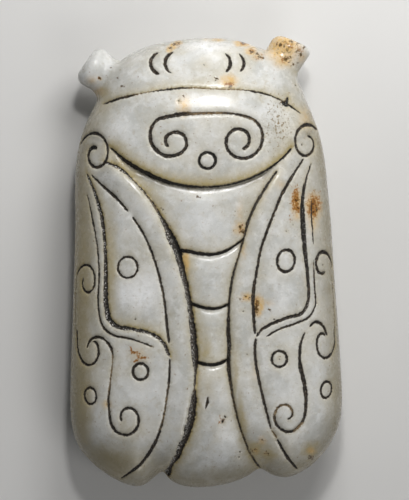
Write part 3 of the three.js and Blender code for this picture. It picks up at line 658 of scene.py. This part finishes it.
OLIVE_STAINS_AND_SHADE = [
    (255, 450, 9, 8, 110), (267, 454, 9, 8, 95), (310, 451, 8, 8, 90), (97, 93, 12, 7, 80),
    (96, 86, 15, 7, 40), (298, 71, 8, 5, 60), (112, 150, 12, 8, 60), (284, 130, 14, 26, 40),
    (122, 163, 8, 5, 70), (135, 174, 10, 6, 75), (148, 190, 8, 10, 50), (159, 207, 6, 11, 45),
    (172, 228, 5, 12, 15), (210, 384, 8, 14, 50), (241.5, 422, 4, 24, 80), (234.5, 378, 3, 26, 60),
    (112, 262, 6, 44, 60), (190, 262, 6, 14, 50), (300, 180, 12, 24, 30), (207, 181, 60, 7, 45),
    (120, 168, 12, 9, 25), (206, 349, 6, 9, 80), (285, 448, 26, 18, 40), (292, 112, 8, 16, 35),
    # The long marks at (79, 280), (78, 400), (90, 350), (108, 462) and (135, 428) are partly olive skin,
    # partly painted shade where the light falls away at the left edge and lower left
    (293, 147, 7, 8, 40), (79, 280, 13, 90, 90), (78, 400, 12, 50, 100), (108, 462, 30, 14, 90),
    (135, 428, 22, 14, 40), (90, 350, 12, 60, 40), (104, 108, 14, 18, 40), (88, 84, 10, 7, 30),
    (100, 120, 16, 14, 25),
]
PALE_PATCHES_AND_HIGHLIGHTS = [
    (139, 292, 16, 16, 110), (224, 396, 6, 12, 50), (238, 203, 4.5, 3.5, 60), (185, 235, 7, 5, 60),
    (120, 240, 8, 18, 40), (207, 62, 26, 10, 40), (283, 290, 12, 18, 50), (212, 135, 24, 16, 40),
    (206, 222, 12, 14, 60), (140, 395, 12, 16, 50), (128, 302, 5, 3, 90), (300, 375, 9, 14, 50),
    # (207, 47) is a painted highlight on the head's front edge
    (207, 47, 22, 6, 90), (222, 386, 4, 7, 60), (150, 225, 5, 12, 50), (182, 330, 5, 40, 50),
    # (130.5, 214.5) is a white chip in the gap of a vein, partly a painted highlight
    (130.5, 214.5, 2.6, 3, 130), (262, 222, 5, 12, 60), (98, 62, 7, 6, 40), (118, 128, 14, 12, 45),
    # (92, 80) is painted light on the shaded underside of the left eye
    (92, 80, 7, 6, 60),
]
# Partly olive skin, partly painted shade where the light falls away at the lower left and along the tail
SKIN_AND_PAINTED_SHADE = [
    (98, 462, 44, 24, 75), (74, 410, 14, 70, 75), (74, 290, 12, 90, 50), (240, 474, 70, 12, 50),
]
PITTED = [
    (287, 50, 15, 15, 130), (279, 126, 17, 26, 135), (300, 185, 12, 30, 70), (260, 57, 8, 7, 90),
    (240, 440, 20, 30, 45), (258, 305, 18, 12, 60), (314, 204, 8, 16, 80), (180, 100, 12, 9, 50),
    (115, 165, 20, 12, 70), (238, 218, 9, 18, 60), (175, 45, 14, 6, 60), (140, 355, 14, 9, 40),
]

# The stone's mesh: a block of facets, drawn out to the pebble and refined beside the carving
FINE_EDGE = 0.225
UNDER_EDGE = 0.34
CROWN_EDGE = 0.95
BELLY_EDGE = 1.9
EYE_EDGE = 0.45
EYE_NEAR = 2
CROWN_FROM = (4, 9)
FINE_MARGIN = 0.25
EDGE_GROWTH = 0.66
MOST_ROUNDS = 5
FEW_EDGES = 50

# The block that it starts from, and the core of each eye that is drawn out of it
BLOCK_CUTS = (20, 34, 6)
BLOCK_TAIL, BLOCK_HEAD = 466, 70
BLOCK_LOW, BLOCK_HIGH = 2.5, 16
BLOCK_INSET = 1
EYE_CORE = 0.6
EYE_SHORTFALL = 0.3


def corners(shape):
    return np.array([corner.co[:] for corner in shape.verts])


def place(shape, points):
    for corner, point in zip(shape.verts, points):
        corner.co = point


def as_mesh(name, shape):
    mesh = bpy.data.meshes.new(name)
    shape.to_mesh(mesh)
    shape.free()
    return mesh


def added(name, data):
    """A new object in the scene."""
    made = bpy.data.objects.new(name, data)
    bpy.context.scene.collection.objects.link(made)
    return made


def block():
    """A closed block with even facets on every side."""
    shape = bmesh.new()
    bmesh.ops.create_cube(shape, size=2)
    for axis, count in enumerate(BLOCK_CUTS):
        along = [e for e in shape.edges if abs(e.verts[0].co[axis] - e.verts[1].co[axis]) > 1e-5]
        bmesh.ops.subdivide_edges(shape, edges=along, cuts=count, use_grid_fill=True)
    return shape


def draw_out_plan(shape):
    """Moves the block's facets out to the pebble's plan and height."""
    u, v, w = ((corners(shape) + 1) / 2).T
    y = mix(lengthwise(BLOCK_TAIL), lengthwise(BLOCK_HEAD), v)
    x = mix(left_side(y) + BLOCK_INSET, right_side(y) - BLOCK_INSET, u)
    y = mix(tail_lobes(x) + BLOCK_INSET, head_arch(x) - BLOCK_INSET, v)
    place(shape, np.column_stack([x, y, mix(BLOCK_LOW, BLOCK_HIGH, w)]))


def draw_out_eyes(shape):
    """Pulls the patch of the head where each eye sits out along the eye."""
    points = corners(shape)
    for eye in EYES:
        wall, end, along = eye_reading(eye, points)
        _, out = eye_frame(eye)
        core = (wall < -EYE_CORE) & (along > -EYE_ROOT)
        points[core] -= (end[core] + EYE_SHORTFALL)[:, None] * out
    place(shape, points)


def settle(shape, depth=stone_depth, rounds=1):
    """Evens the facets out along the surface."""
    for _ in range(rounds):
        bmesh.ops.smooth_vert(shape, verts=shape.verts[:], factor=0.5,
                              use_axis_x=True, use_axis_y=True, use_axis_z=True)
        place(shape, onto(depth, corners(shape), 2))


def cut_tree():
    """The cuts' points in a tree, with the half width at each and whether it is underneath."""
    points, half = [np.concatenate([line[key] for line in cuts]) for key in ("points", "half")]
    under = np.concatenate([np.full(len(line["half"]), line["under"]) for line in cuts])
    tree = kdtree.KDTree(len(points))
    for i, point in enumerate(points):
        tree.insert(point, i)
    tree.balance()
    return tree, half, under


def allowed_edge(points, tree, half, under):
    """The longest edge that each place may have: short beside the carving, longer elsewhere."""
    found = [tree.find(point) for point in points]
    nearest = np.array([index for _, index, _ in found])
    gap = np.array([distance for _, _, distance in found]) - half[nearest]
    fine = np.where(under[nearest], UNDER_EDGE, FINE_EDGE)
    plain = mix(BELLY_EDGE, CROWN_EDGE, smoothstep(points[:, 2], *CROWN_FROM))
    for eye in EYES:
        wall, _, along = eye_reading(eye, points)
        plain = np.where((wall < EYE_NEAR) & (along > -EYE_NEAR), EYE_EDGE, plain)
    return np.clip(fine + EDGE_GROWTH * (gap - FINE_MARGIN), fine, plain)


def split_long_edges(shape, tree, half, under):
    edges = shape.edges[:]
    ends = np.array([[*e.verts[0].co, *e.verts[1].co] for e in edges])
    length = np.linalg.norm(ends[:, :3] - ends[:, 3:], axis=1)
    allowed = allowed_edge((ends[:, :3] + ends[:, 3:]) / 2, tree, half, under)
    long = [edges[i] for i in np.flatnonzero(length > allowed)]
    bmesh.ops.subdivide_edges(shape, edges=long, cuts=1)
    bmesh.ops.triangulate(shape, faces=[f for f in shape.faces if len(f.verts) > 3])
    bmesh.ops.beautify_fill(shape, faces=shape.faces[:], edges=shape.edges[:], method="ANGLE")
    return len(long)


def plain_stone():
    """The pebble with its eyes, before anything is cut into it."""
    shape = block()
    draw_out_plan(shape)
    bmesh.ops.triangulate(shape, faces=shape.faces[:])
    settle(shape, pebble_depth, 4)
    draw_out_eyes(shape)
    tree, half, under = cut_tree()
    for _ in range(MOST_ROUNDS):
        count = split_long_edges(shape, tree, half, under)
        settle(shape)
        if count < FEW_EDGES:
            break
    place(shape, onto(stone_depth, corners(shape)))
    return shape


# Low relief, as heights above the plain pebble
HALF_LIP = LIP_GAP / 2
CREASE = 0.35
EYE_RIM = 6


def past_lip(distance):
    return smoothstep(distance, -HALF_LIP, HALF_LIP)


def square_to(line, x, y):
    """Distance from a lengthwise line, measured square to it, positive towards +X."""
    step = 0.2
    lean = (line(y + step) - line(y - step)) / (2 * step)
    return (x - line(y)) / np.sqrt(1 + lean**2)


def level_off(run, length):
    """Rises from 0 and levels off at 1 after a length, with a small round crease there."""
    share = np.clip(run / length, 0, 3)
    return 0.5 * (share + 1 - np.sqrt((share - 1)**2 + CREASE**2))


def abdomen_share(x, y):
    return past_lip(collar(x) - y) * past_lip(x - left_edge(y)) * past_lip(right_edge(y) - x)


def abdomen_depth(x, y):
    """The abdomen lies below the wings, arched across, and each ring dips under the last."""
    middle = (left_edge(y) + right_edge(y)) / 2
    side = np.minimum(np.abs(x - middle) / (right_edge(y) - middle), 1)
    horn = 1 - (1 - HORN_SINK) * smoothstep(np.abs(x - middle), HORN_START, HORN_END)
    dip = np.zeros_like(x)
    for line in (collar, ring_one, ring_two, ring_three):
        past = line(x) - y
        ramp = SEGMENT_DROP * (1 - smoothstep(past, HALF_LIP, HALF_LIP + SEGMENT_RAMP))
        bevel = SEGMENT_EDGE * (1 - level_off(past, SEGMENT_BEVEL))
        dip = np.maximum(dip, past_lip(past) * (ramp + bevel))
    return horn * (ABDOMEN_SINK - ABDOMEN_BULGE * (1 - side * side) + dip)


def band_height(x, y):
    """Each wing's inner band is flat on top, with a bevel down to the abdomen."""
    raised = np.zeros_like(x)
    for vein, edge, way in ((left_vein, left_edge, 1), (right_vein, right_edge, -1)):
        from_vein = way * square_to(vein, x, y)
        from_edge = -way * square_to(edge, x, y)
        top = np.minimum(level_off(from_vein, BAND_SHOULDER), level_off(from_edge, BAND_BEVEL))
        raised = np.where((from_vein > 0) & (from_edge > 0), BAND_RISE * top, raised)
    return (raised - BAND_VALLEY) * smoothstep(collar(x) - y, -SEGMENT_RAMP, SEGMENT_RAMP)


def collar_height(x, y):
    """The collar swells behind the head and stays proud where its rear line drops away."""
    share = np.clip((head_line(x) - y) / (head_line(x) - collar(x)), 0, 1)
    inside = (share > 0) & (share < 1)
    fullness = mix(COLLAR_FULLNESS, 1, smoothstep(np.abs(x - COLLAR_MIDDLE), *COLLAR_FADE))
    swell = np.clip(np.sin(math.pi * fullness * share), 0, None)**COLLAR_SWELL
    return np.where(inside, COLLAR_RISE * swell, 0)


def bumps(points, scale):
    return np.array([noise.noise(Vector(point) * scale) for point in points])


def relief(points):
    """Height of the low relief and of the slight waves that hand polishing leaves."""
    x, y, z = points.T
    abdomen = abdomen_share(x, y)
    before_collar = 1 - past_lip(collar(x) - y)
    height = (collar_height(x, y) * before_collar + band_height(x, y) * (1 - abdomen)
              - abdomen_depth(x, y) * abdomen)
    upper = smoothstep(z, BELLY_HEIGHT, BELLY_HEIGHT + RELIEF_FADE)
    inwards = smoothstep(rim_distance(x, y), 0, RIM_INSET)
    waves = bumps(points, 0.16) + 0.4 * bumps(points, 0.42)
    return (height + POLISH_WAVES * waves) * inwards * upper


# The cuts themselves
CUT_BASE_DEPTH = 0.16
CUT_DEPTH_SHARE = 0.42
NARROW_HALF = 0.15
LEAST_HALF = 0.03
FLOOR_ROUNDNESS = 2.2
LIP_WEAR = 0.32
LIP_REACH = 0.26
UNEVEN_WIDTH = 0.3
LIP_FALL = 1.4
HALO_FRINGE = 0.25
HALO_REACH = 1.5
HALO_FALL = 1.5
HALO_SHARES = (0.6, 0.7)
LEFT_FADE = (-0.4, 0.4)
READING_REACH = 2.4
STRETCH_POINTS = 24


def nearest_on(line, points):
    """For each point: its distance to the line, the half width and soil there, and which side."""
    start, end = line["points"][:-1], line["points"][1:]
    side = end - start
    to = points[:, None] - start
    share = np.clip((to * side).sum(2) / (side**2).sum(1), 0, 1)
    away = to - share[..., None] * side
    distance = np.sqrt((away**2).sum(2))
    best = distance.argmin(1)
    row = np.arange(len(points))
    part = share[row, best]
    half, soil = [mix(line[key][best], line[key][best + 1], part) for key in ("half", "soil")]
    offset, direction = away[row, best], side[best]
    turn = direction[:, 0] * offset[:, 1] - direction[:, 1] * offset[:, 0]
    return distance[row, best], half, soil, np.sign(turn)


def stretches():
    """All cuts in short stretches, so that each is only read where it is near."""
    for line in cuts:
        for start in range(0, len(line["half"]) - 1, STRETCH_POINTS):
            part = slice(start, start + STRETCH_POINTS + 1)
            yield {**line, **{key: line[key][part] for key in ("points", "half", "soil")}}


def floor_shape(aside, lean):
    """Depth across a cut: 0 at its lips and 1 at its lowest line, which may lie off the middle."""
    reach = np.where(aside > lean, 1 - lean, 1 + lean)
    return 1 - np.clip(np.abs(aside - lean) / reach, 0, 1)**FLOOR_ROUNDNESS


def on_sides(values, to_left):
    """A value given for the left and for the right of a line, read beside it."""
    left, right = values
    return mix(right, left, to_left)


def cut_reading(line, points, uneven, rough):
    """What a stretch of a cut does to the points near it."""
    distance, half, soil, turn = nearest_on(line, points)
    half = np.maximum(half * (1 + UNEVEN_WIDTH * uneven) + line["ragged"] * rough, LEAST_HALF)
    gap = half - distance
    outside = np.clip(-gap, 0, None)
    aside = turn * distance / half
    to_left = smoothstep(aside, *LEFT_FADE)
    floor = floor_shape(np.clip(aside, -1, 1), line["lean"])
    lip = np.exp(-(outside / LIP_REACH)**LIP_FALL)
    deep = CUT_BASE_DEPTH * np.minimum(half / NARROW_HALF, 1) + CUT_DEPTH_SHARE * 2 * half
    fringe = HALO_SHARES[0] * np.exp(-outside / HALO_FRINGE)
    tint = fringe + HALO_SHARES[1] * np.exp(-(outside / HALO_REACH)**HALO_FALL)
    return {
        "depth": deep * ((1 - LIP_WEAR) * floor + LIP_WEAR * lip), "inside_cut": gap, "soil": soil,
        "grit_and_glints": on_sides(line["grit_and_glints"], to_left), "halo": on_sides(line["halo"], to_left) * tint,
    }


def read_cuts(points):
    """How far inside the nearest cut each point is, and how deep, dirty and stained it is."""
    reading = {key: np.zeros(len(points)) for key in ("depth", "inside_cut", "soil", "grit_and_glints", "halo")}
    reading["inside_cut"] -= READING_REACH
    uneven = bumps(points, 0.9)
    rough = bumps(points, 2.9) + 0.5 * bumps(points, 6.1)
    for stretch in stretches():
        low, high = stretch["points"].min(0), stretch["points"].max(0)
        close = (points > low - READING_REACH) & (points < high + READING_REACH)
        near = np.flatnonzero(close.all(1))
        if not len(near):
            continue
        found = cut_reading(stretch, points[near], uneven[near], rough[near])
        nearer = found["inside_cut"] > reading["inside_cut"][near]
        for key, values in reading.items():
            wins = found[key] > values[near] if key in ("depth", "halo") else nearer
            values[near] = np.where(wins, found[key], values[near])
    return reading


def rim_reading(points):
    """Distance in from the outline, with the eyes counted as well inside."""
    rim = rim_distance(points[:, 0], points[:, 1])
    for eye in EYES:
        past_head = pebble_depth(points) - eye_depth(eye, points)
        rim = mix(rim, np.maximum(rim, EYE_RIM), smoothstep(past_head, 0, 1))
    return rim


def attribute(mesh, name, values):
    mesh.attributes.new(name, "FLOAT", "POINT").data.foreach_set("value", values.astype(np.float32))


def jade_cicada():
    """The carved stone as one closed piece, and how far its own middle lies from the drawing's."""
    shape = plain_stone()
    points = corners(shape)
    slope = slope_of(stone_depth, points)
    outwards = slope / np.linalg.norm(slope, axis=1)[:, None]
    reading = read_cuts(points)
    carved = points - outwards * reading.pop("depth")[:, None]
    carved[:, 2] += relief(points)
    low, high = carved.min(0), carved.max(0)
    middle = np.array([(low[0] + high[0]) / 2, (low[1] + high[1]) / 2, low[2]])
    place(shape, (carved - middle) * MILLIMETRE)
    bmesh.ops.recalc_face_normals(shape, faces=shape.faces[:])
    for face in shape.faces:
        face.smooth = True
    mesh = as_mesh("carved_cicada", shape)
    reading["rim"] = rim_reading(points)
    for name, values in reading.items():
        attribute(mesh, name, values)
    return mesh, middle


class Mixture:
    """A material's node tree, written as a list of steps."""

    def __init__(self, name):
        self.material = bpy.data.materials.new(name)
        self.material.use_nodes = True
        self.tree = self.material.node_tree

    def feed(self, sockets, values):
        for name, value in values.items():
            if isinstance(value, bpy.types.NodeSocket):
                self.tree.links.new(value, sockets[name])
            else:
                paint = sockets[name].type == "RGBA"
                sockets[name].default_value = (*value, 1) if paint else value

    def node(self, kind, values=(), **settings):
        made = self.tree.nodes.new("ShaderNode" + kind)
        for key, value in settings.items():
            setattr(made, key, value)
        self.feed(made.inputs, dict(values))
        return made.outputs

    def reading(self, name):
        return self.node("Attribute", attribute_name=name)["Fac"]

    def millimetres(self, middle=(0, 0, 0)):
        """The place on the object in millimetres, counted from the drawing's middle."""
        spot = self.node("TexCoord")["Object"]
        return self.node("Mapping", {"Vector": spot, "Scale": [1 / MILLIMETRE] * 3,
                                     "Location": [float(m) for m in middle]})[0]

    def noise(self, spot, scale, detail=3.0, roughness=0.5, distortion=0.0, output="Fac"):
        return self.node("TexNoise", {"Vector": spot, "Scale": scale, "Detail": detail,
                                      "Roughness": roughness, "Distortion": distortion})[output]

    def warped(self, spot, scale, amount):
        """The place, pushed about by noise, so that round marks come out ragged."""
        cloud = self.noise(spot, scale, 4, 0.6, output="Color")
        push = self.node("VectorMath", {0: cloud, 1: (0.5, 0.5, 0.5)}, operation="SUBTRACT")[0]
        return self.node("VectorMath", {0: push, 1: (amount, amount, 0), 2: spot},
                         operation="MULTIPLY_ADD")[0]

    def ramp(self, value, low, high, to_low=0.0, to_high=1.0):
        return self.node("MapRange", {"Value": value, "From Min": low, "From Max": high,
                                      "To Min": to_low, "To Max": to_high},
                         interpolation_type="SMOOTHSTEP")["Result"]

    def math(self, operation, *values):
        return self.node("Math", enumerate(values), operation=operation)[0]

    def times(self, first, second):
        return self.math("MULTIPLY", first, second)

    def stains(self, spot, places):
        """The strongest of several marks: half its strength at its edge, all of it in its middle."""
        strongest = None
        for x, y, half_width, half_height, strength in places:
            wide, tall = 2 * half_width * DRAWING_UNIT, 2 * half_height * DRAWING_UNIT
            local = self.node("Mapping", {
                "Vector": spot, "Scale": (1 / wide, 1 / tall, 0),
                "Location": (float(-across(x)) / wide, float(-lengthwise(y)) / tall, 0)})[0]
            fall = self.node("TexGradient", {"Vector": local}, gradient_type="SPHERICAL")["Fac"]
            mark = self.times(fall, strength / 100)
            strongest = self.math("MAXIMUM", strongest, mark) if strongest else mark
        return strongest

    def blend(self, base, top, share):
        return self.node("Mix", {0: share, 6: base, 7: top}, data_type="RGBA")[2]

    def finish(self, values):
        self.feed(self.tree.nodes["Principled BSDF"].inputs, values)
        return self.material


# Clouds in the stone: colour, strength, the noise's settings and where it fades in
DRIFTS = [
    ((0.62, 0.56, 0.42), 0.3, (0.09, 5, 0.6, 1.0), (0.44, 0.68)),
    ((0.80, 0.80, 0.785), 0.55, (0.42, 5, 0.62, 0.3), (0.46, 0.7)),
    ((0.84, 0.84, 0.82), 0.4, (1.5, 4, 0.65), (0.56, 0.72)),
    ((0.44, 0.39, 0.28), 0.35, (0.9, 5, 0.6, 0.6), (0.52, 0.72)),
]


def clouded_stone(jade, spot):
    """Pale stone with soft clouds, warmer drifts, white patches and flecks and a faint grain."""
    cloud = jade.ramp(jade.noise(spot, 0.16, 4, 0.55, 0.5), 0.34, 0.66)
    stone = jade.blend((0.53, 0.53, 0.50), (0.685, 0.685, 0.662), cloud)
    for tone, strength, grain, fade in DRIFTS:
        drift = jade.ramp(jade.noise(spot, *grain), *fade)
        stone = jade.blend(stone, tone, jade.times(drift, strength))
    return stone


def rim_stains_and_painted_light(jade, spot, broad, face, patchy, stone):
    """Darker olive towards the outline, olive stains with painted shade down the left edge, painted shade
    at the lower left and the tail, pale patches with a few painted highlights, and tan beside the cuts.
    """
    # darker olive towards the outline, with less of it at the head end
    rim_olive = jade.times(jade.ramp(jade.reading("rim"), 0, 4.4, 0.9, 0),
                      jade.ramp(jade.noise(spot, 0.35, 3), 0.35, 0.65, 0.8, 1))
    towards_head = jade.node("SeparateXYZ", {"Vector": spot})["Y"]
    rim_olive = jade.times(rim_olive, jade.ramp(towards_head, 24, 34, 1, 0.3))
    stone = jade.blend(stone, (0.235, 0.195, 0.105), rim_olive)
    # olive stains, partly painted shade down the left edge and at the lower left
    olive_and_shade = jade.times(jade.ramp(jade.stains(broad, OLIVE_STAINS_AND_SHADE), 0.05, 0.9, 0, 0.85), face)
    stone = jade.blend(stone, (0.44, 0.36, 0.185), olive_and_shade)
    # partly olive skin, partly painted shade at the lower left and the tail
    skin_and_painted_shade = jade.ramp(jade.stains(broad, SKIN_AND_PAINTED_SHADE), 0.05, 0.9, 0, 0.7)
    stone = jade.blend(stone, (0.23, 0.205, 0.135), skin_and_painted_shade)
    # pale patches in the stone, with a painted highlight on the head's front edge and on a chip, and
    # painted light under the left eye
    pale_and_lit = jade.times(jade.ramp(jade.stains(broad, PALE_PATCHES_AND_HIGHLIGHTS), 0.1, 0.9), face)
    pale_and_lit = jade.times(pale_and_lit, jade.ramp(patchy, 0.35, 0.6, 0.4, 0.95))
    stone = jade.blend(stone, (0.88, 0.88, 0.87), pale_and_lit)
    halo = jade.times(jade.reading("halo"), jade.ramp(patchy, 0.33, 0.66, 0.6, 1.0))
    return jade.blend(stone, (0.47, 0.385, 0.195), halo)


def iron_stains(jade, spot, broad, face, patchy, stone):
    """Amber, rust and umber marks with crumbly edges, and a scatter of fine specks."""
    ragged = jade.warped(spot, 1.3, 0.9)
    crumbly = jade.math("MULTIPLY_ADD", jade.noise(spot, 1.9, 6, 0.72, 0.3), 2.0, -0.5)

    def crumbling(marks, low, high):
        return jade.ramp(jade.math("MULTIPLY_ADD", crumbly, 1.4, marks), low + 0.7, high + 0.7)

    amber = jade.times(jade.ramp(jade.stains(ragged, AMBER), 0.05, 0.7), face)
    amber = jade.times(amber, jade.ramp(patchy, 0.33, 0.62, 0.6, 1))
    stone = jade.blend(stone, (0.66, 0.435, 0.16), amber)
    rust = jade.times(jade.stains(ragged, RUST), face)
    stone = jade.blend(stone, (0.34, 0.155, 0.035), crumbling(rust, 0.28, 0.66))
    stone = jade.blend(stone, (0.10, 0.04, 0.014), crumbling(rust, 0.78, 1.1))
    umber = jade.times(jade.stains(ragged, UMBER), face)
    stone = jade.blend(stone, (0.105, 0.062, 0.022), crumbling(umber, 0.38, 0.62))
    pitted = jade.times(jade.stains(broad, PITTED), face)
    crumb = jade.math("MULTIPLY_ADD", pitted, 0.14, jade.noise(spot, 2.1, 4, 0.7))
    return jade.blend(stone, (0.22, 0.155, 0.065), jade.times(jade.ramp(crumb, 0.69, 0.74), 0.85))


def stone_with_stains_and_painted_light(jade, spot):
    """The clouded stone with its darker olive rim, its stains and some painted shade and painted
    highlights. The stains stay on the carved face.
    """
    broad = jade.warped(spot, 0.5, 3.0)
    face = jade.ramp(jade.node("SeparateXYZ", {"Vector": spot})["Z"], 6.5, 9.2)
    patchy = jade.noise(spot, 1.2, 5, 0.7, 0.4)
    stone = rim_stains_and_painted_light(jade, spot, broad, face, patchy, clouded_stone(jade, spot))
    return iron_stains(jade, spot, broad, face, patchy, stone)


def cut_residue(jade, spot):
    """Where the dark residue fills the cuts, and its colour, with painted glints in it."""
    ragged = jade.math("MULTIPLY_ADD", jade.noise(spot, 3.6, 5, 0.7), 0.34, -0.17)
    inside = jade.ramp(jade.math("ADD", jade.reading("inside_cut"), ragged), -0.05, 0.05)
    soil, grit_and_glints = jade.reading("soil"), jade.reading("grit_and_glints")
    lump = jade.math("MULTIPLY_ADD", jade.noise(spot, 1.4, 6, 0.75, 0.3), 1.5, -0.25)
    filled = jade.ramp(jade.math("MULTIPLY_ADD", soil, 0.9, lump), 0.7, 1.0)
    mottle = jade.ramp(jade.noise(spot, 3.0, 5, 0.75), 0.50, 0.66)
    black = jade.ramp(soil, 0.84, 0.98)
    tarry = jade.blend((0.011, 0.008, 0.006), (0.003, 0.0025, 0.002), black)
    crumbs = jade.blend((0.14, 0.095, 0.05), (0.05, 0.035, 0.02), black)
    grime = jade.blend(tarry, crumbs, mottle)
    # pale crumbly grit in the residue, put mostly on the wall that faces the light, so partly painted
    # light
    chalky_and_lit = jade.times(grit_and_glints, jade.ramp(jade.noise(spot, 3.1, 4, 0.65), 0.40, 0.60))
    grime = jade.blend(grime, (0.25, 0.23, 0.20), jade.times(chalky_and_lit, 0.4))
    grain = jade.node("TexVoronoi", {"Vector": spot, "Scale": 3.0})["Distance"]
    # painted glints: bright specks standing in for sparkling reflections in the residue
    painted_glint = jade.math("LESS_THAN", grain, jade.math("MULTIPLY_ADD", grit_and_glints, 0.33, 0.02))
    grime = jade.blend(grime, (0.72, 0.70, 0.66), jade.times(painted_glint, 0.9))
    worn = jade.blend((0.20, 0.135, 0.065), (0.42, 0.33, 0.20), mottle)
    return inside, filled, jade.blend(worn, grime, filled)


def nephrite(middle):
    """Pale cloudy stone with a waxy polish, dark residue with painted glints in the cuts, iron stains,
    and some painted shade and painted highlights.
    """
    jade = Mixture("nephrite")
    spot = jade.millimetres(middle)
    inside, filled, residue = cut_residue(jade, spot)
    gloss = jade.ramp(jade.noise(spot, 0.7, 4), 0.3, 0.7, 0.2, 0.31)
    dull = jade.times(jade.times(inside, filled), 0.8)
    waves = jade.node("Bump", {"Strength": 0.3, "Distance": 0.000025,
                               "Height": jade.noise(spot, 1.1, 4, 0.55)})[0]
    crumbs = jade.node("Bump", {"Strength": 0.9, "Distance": 0.00014, "Normal": waves,
                                "Height": jade.times(inside, jade.noise(spot, 6, 3, 0.7))})[0]
    return jade.finish({
        "Base Color": jade.blend(stone_with_stains_and_painted_light(jade, spot), residue, inside),
        "Roughness": jade.math("MAXIMUM", gloss, dull), "Normal": crumbs, "IOR": 1.55,
        "Subsurface Weight": jade.ramp(inside, 0, 1, 0.3, 0),
        "Subsurface Radius": (1, 0.97, 0.9), "Subsurface Scale": 0.0014,
    })


def paper():
    """The floor's plain pale surface."""
    sheet = Mixture("pale_paper")
    tone = sheet.ramp(sheet.noise(sheet.millimetres(), 0.02, 3), 0.3, 0.7)
    colour = sheet.blend((0.70, 0.69, 0.67), (0.73, 0.72, 0.70), tone)
    return sheet.finish({"Base Color": colour, "Roughness": 0.85})


def stand_on_stage():
    """A wide pale floor just under the stone."""
    shape = bmesh.new()
    bmesh.ops.create_grid(shape, x_segments=2, y_segments=2, size=3)
    floor = added("floor", as_mesh("floor", shape))
    floor.data.materials.append(paper())


def softbox(name, stand, target, size, power):
    light = bpy.data.lights.new(name, "AREA")
    light.shape = "RECTANGLE"
    light.size, light.size_y = size
    light.energy = power
    lamp = added(name, light)
    lamp.location = stand
    lamp.rotation_euler = (Vector(target) - Vector(stand)).to_track_quat("-Z", "Y").to_euler()
    lamp.visible_camera = False
    return lamp


def studio():
    """Soft light from above the head, low behind it and, weaker, from the tail's side."""
    world = bpy.data.worlds.new("studio")
    world.use_nodes = True
    background = world.node_tree.nodes["Background"].inputs
    background["Color"].default_value = (0.95, 0.97, 1, 1)
    background["Strength"].default_value = 0.11
    bpy.context.scene.world = world
    bpy.context.scene.view_settings.view_transform = "Standard"
    key = softbox("key_softbox", (0.045, 0.135, 0.125), (0, 0.015, 0.01), (0.10, 0.07), 0.205)
    key.visible_glossy = False
    softbox("high_softbox", (0.015, 0.2, 0.31), (0, 0.02, 0.01), (0.04, 0.035), 0.33)
    softbox("low_softbox", (0.02, 0.3, 0.05), (0, 0.02, 0.01), (0.08, 0.04), 0.06)
    softbox("fill_softbox", (0.17, -0.2, 0.28), (0, -0.01, 0.01), (0.2, 0.2), 0.28)


IMAGE_WIDTH, IMAGE_HEIGHT = 409, 500
LENS = 700
SENSOR = 36
FOCUS_HEIGHT = 13


def camera(middle):
    """Looks straight down on the carved face, with the head at the top of the picture."""
    view = bpy.data.cameras.new("camera")
    view.lens = LENS
    view.sensor_width = SENSOR
    view.clip_start, view.clip_end = 0.1, 10
    distance = IMAGE_HEIGHT * DRAWING_UNIT * LENS / SENSOR
    x = float(across(IMAGE_WIDTH / 2)) - middle[0]
    y = float(lengthwise(IMAGE_HEIGHT / 2)) - middle[1]
    seen = added("camera", view)
    seen.location = Vector((x, y, distance + FOCUS_HEIGHT)) * MILLIMETRE
    bpy.context.scene.camera = seen


carving, carving_middle = jade_cicada()
stone = added("carved_cicada", carving)
stone.data.materials.append(nephrite(carving_middle))
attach(stone, "root")
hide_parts("jade_cicada")

stand_on_stage()
studio()
camera(carving_middle)
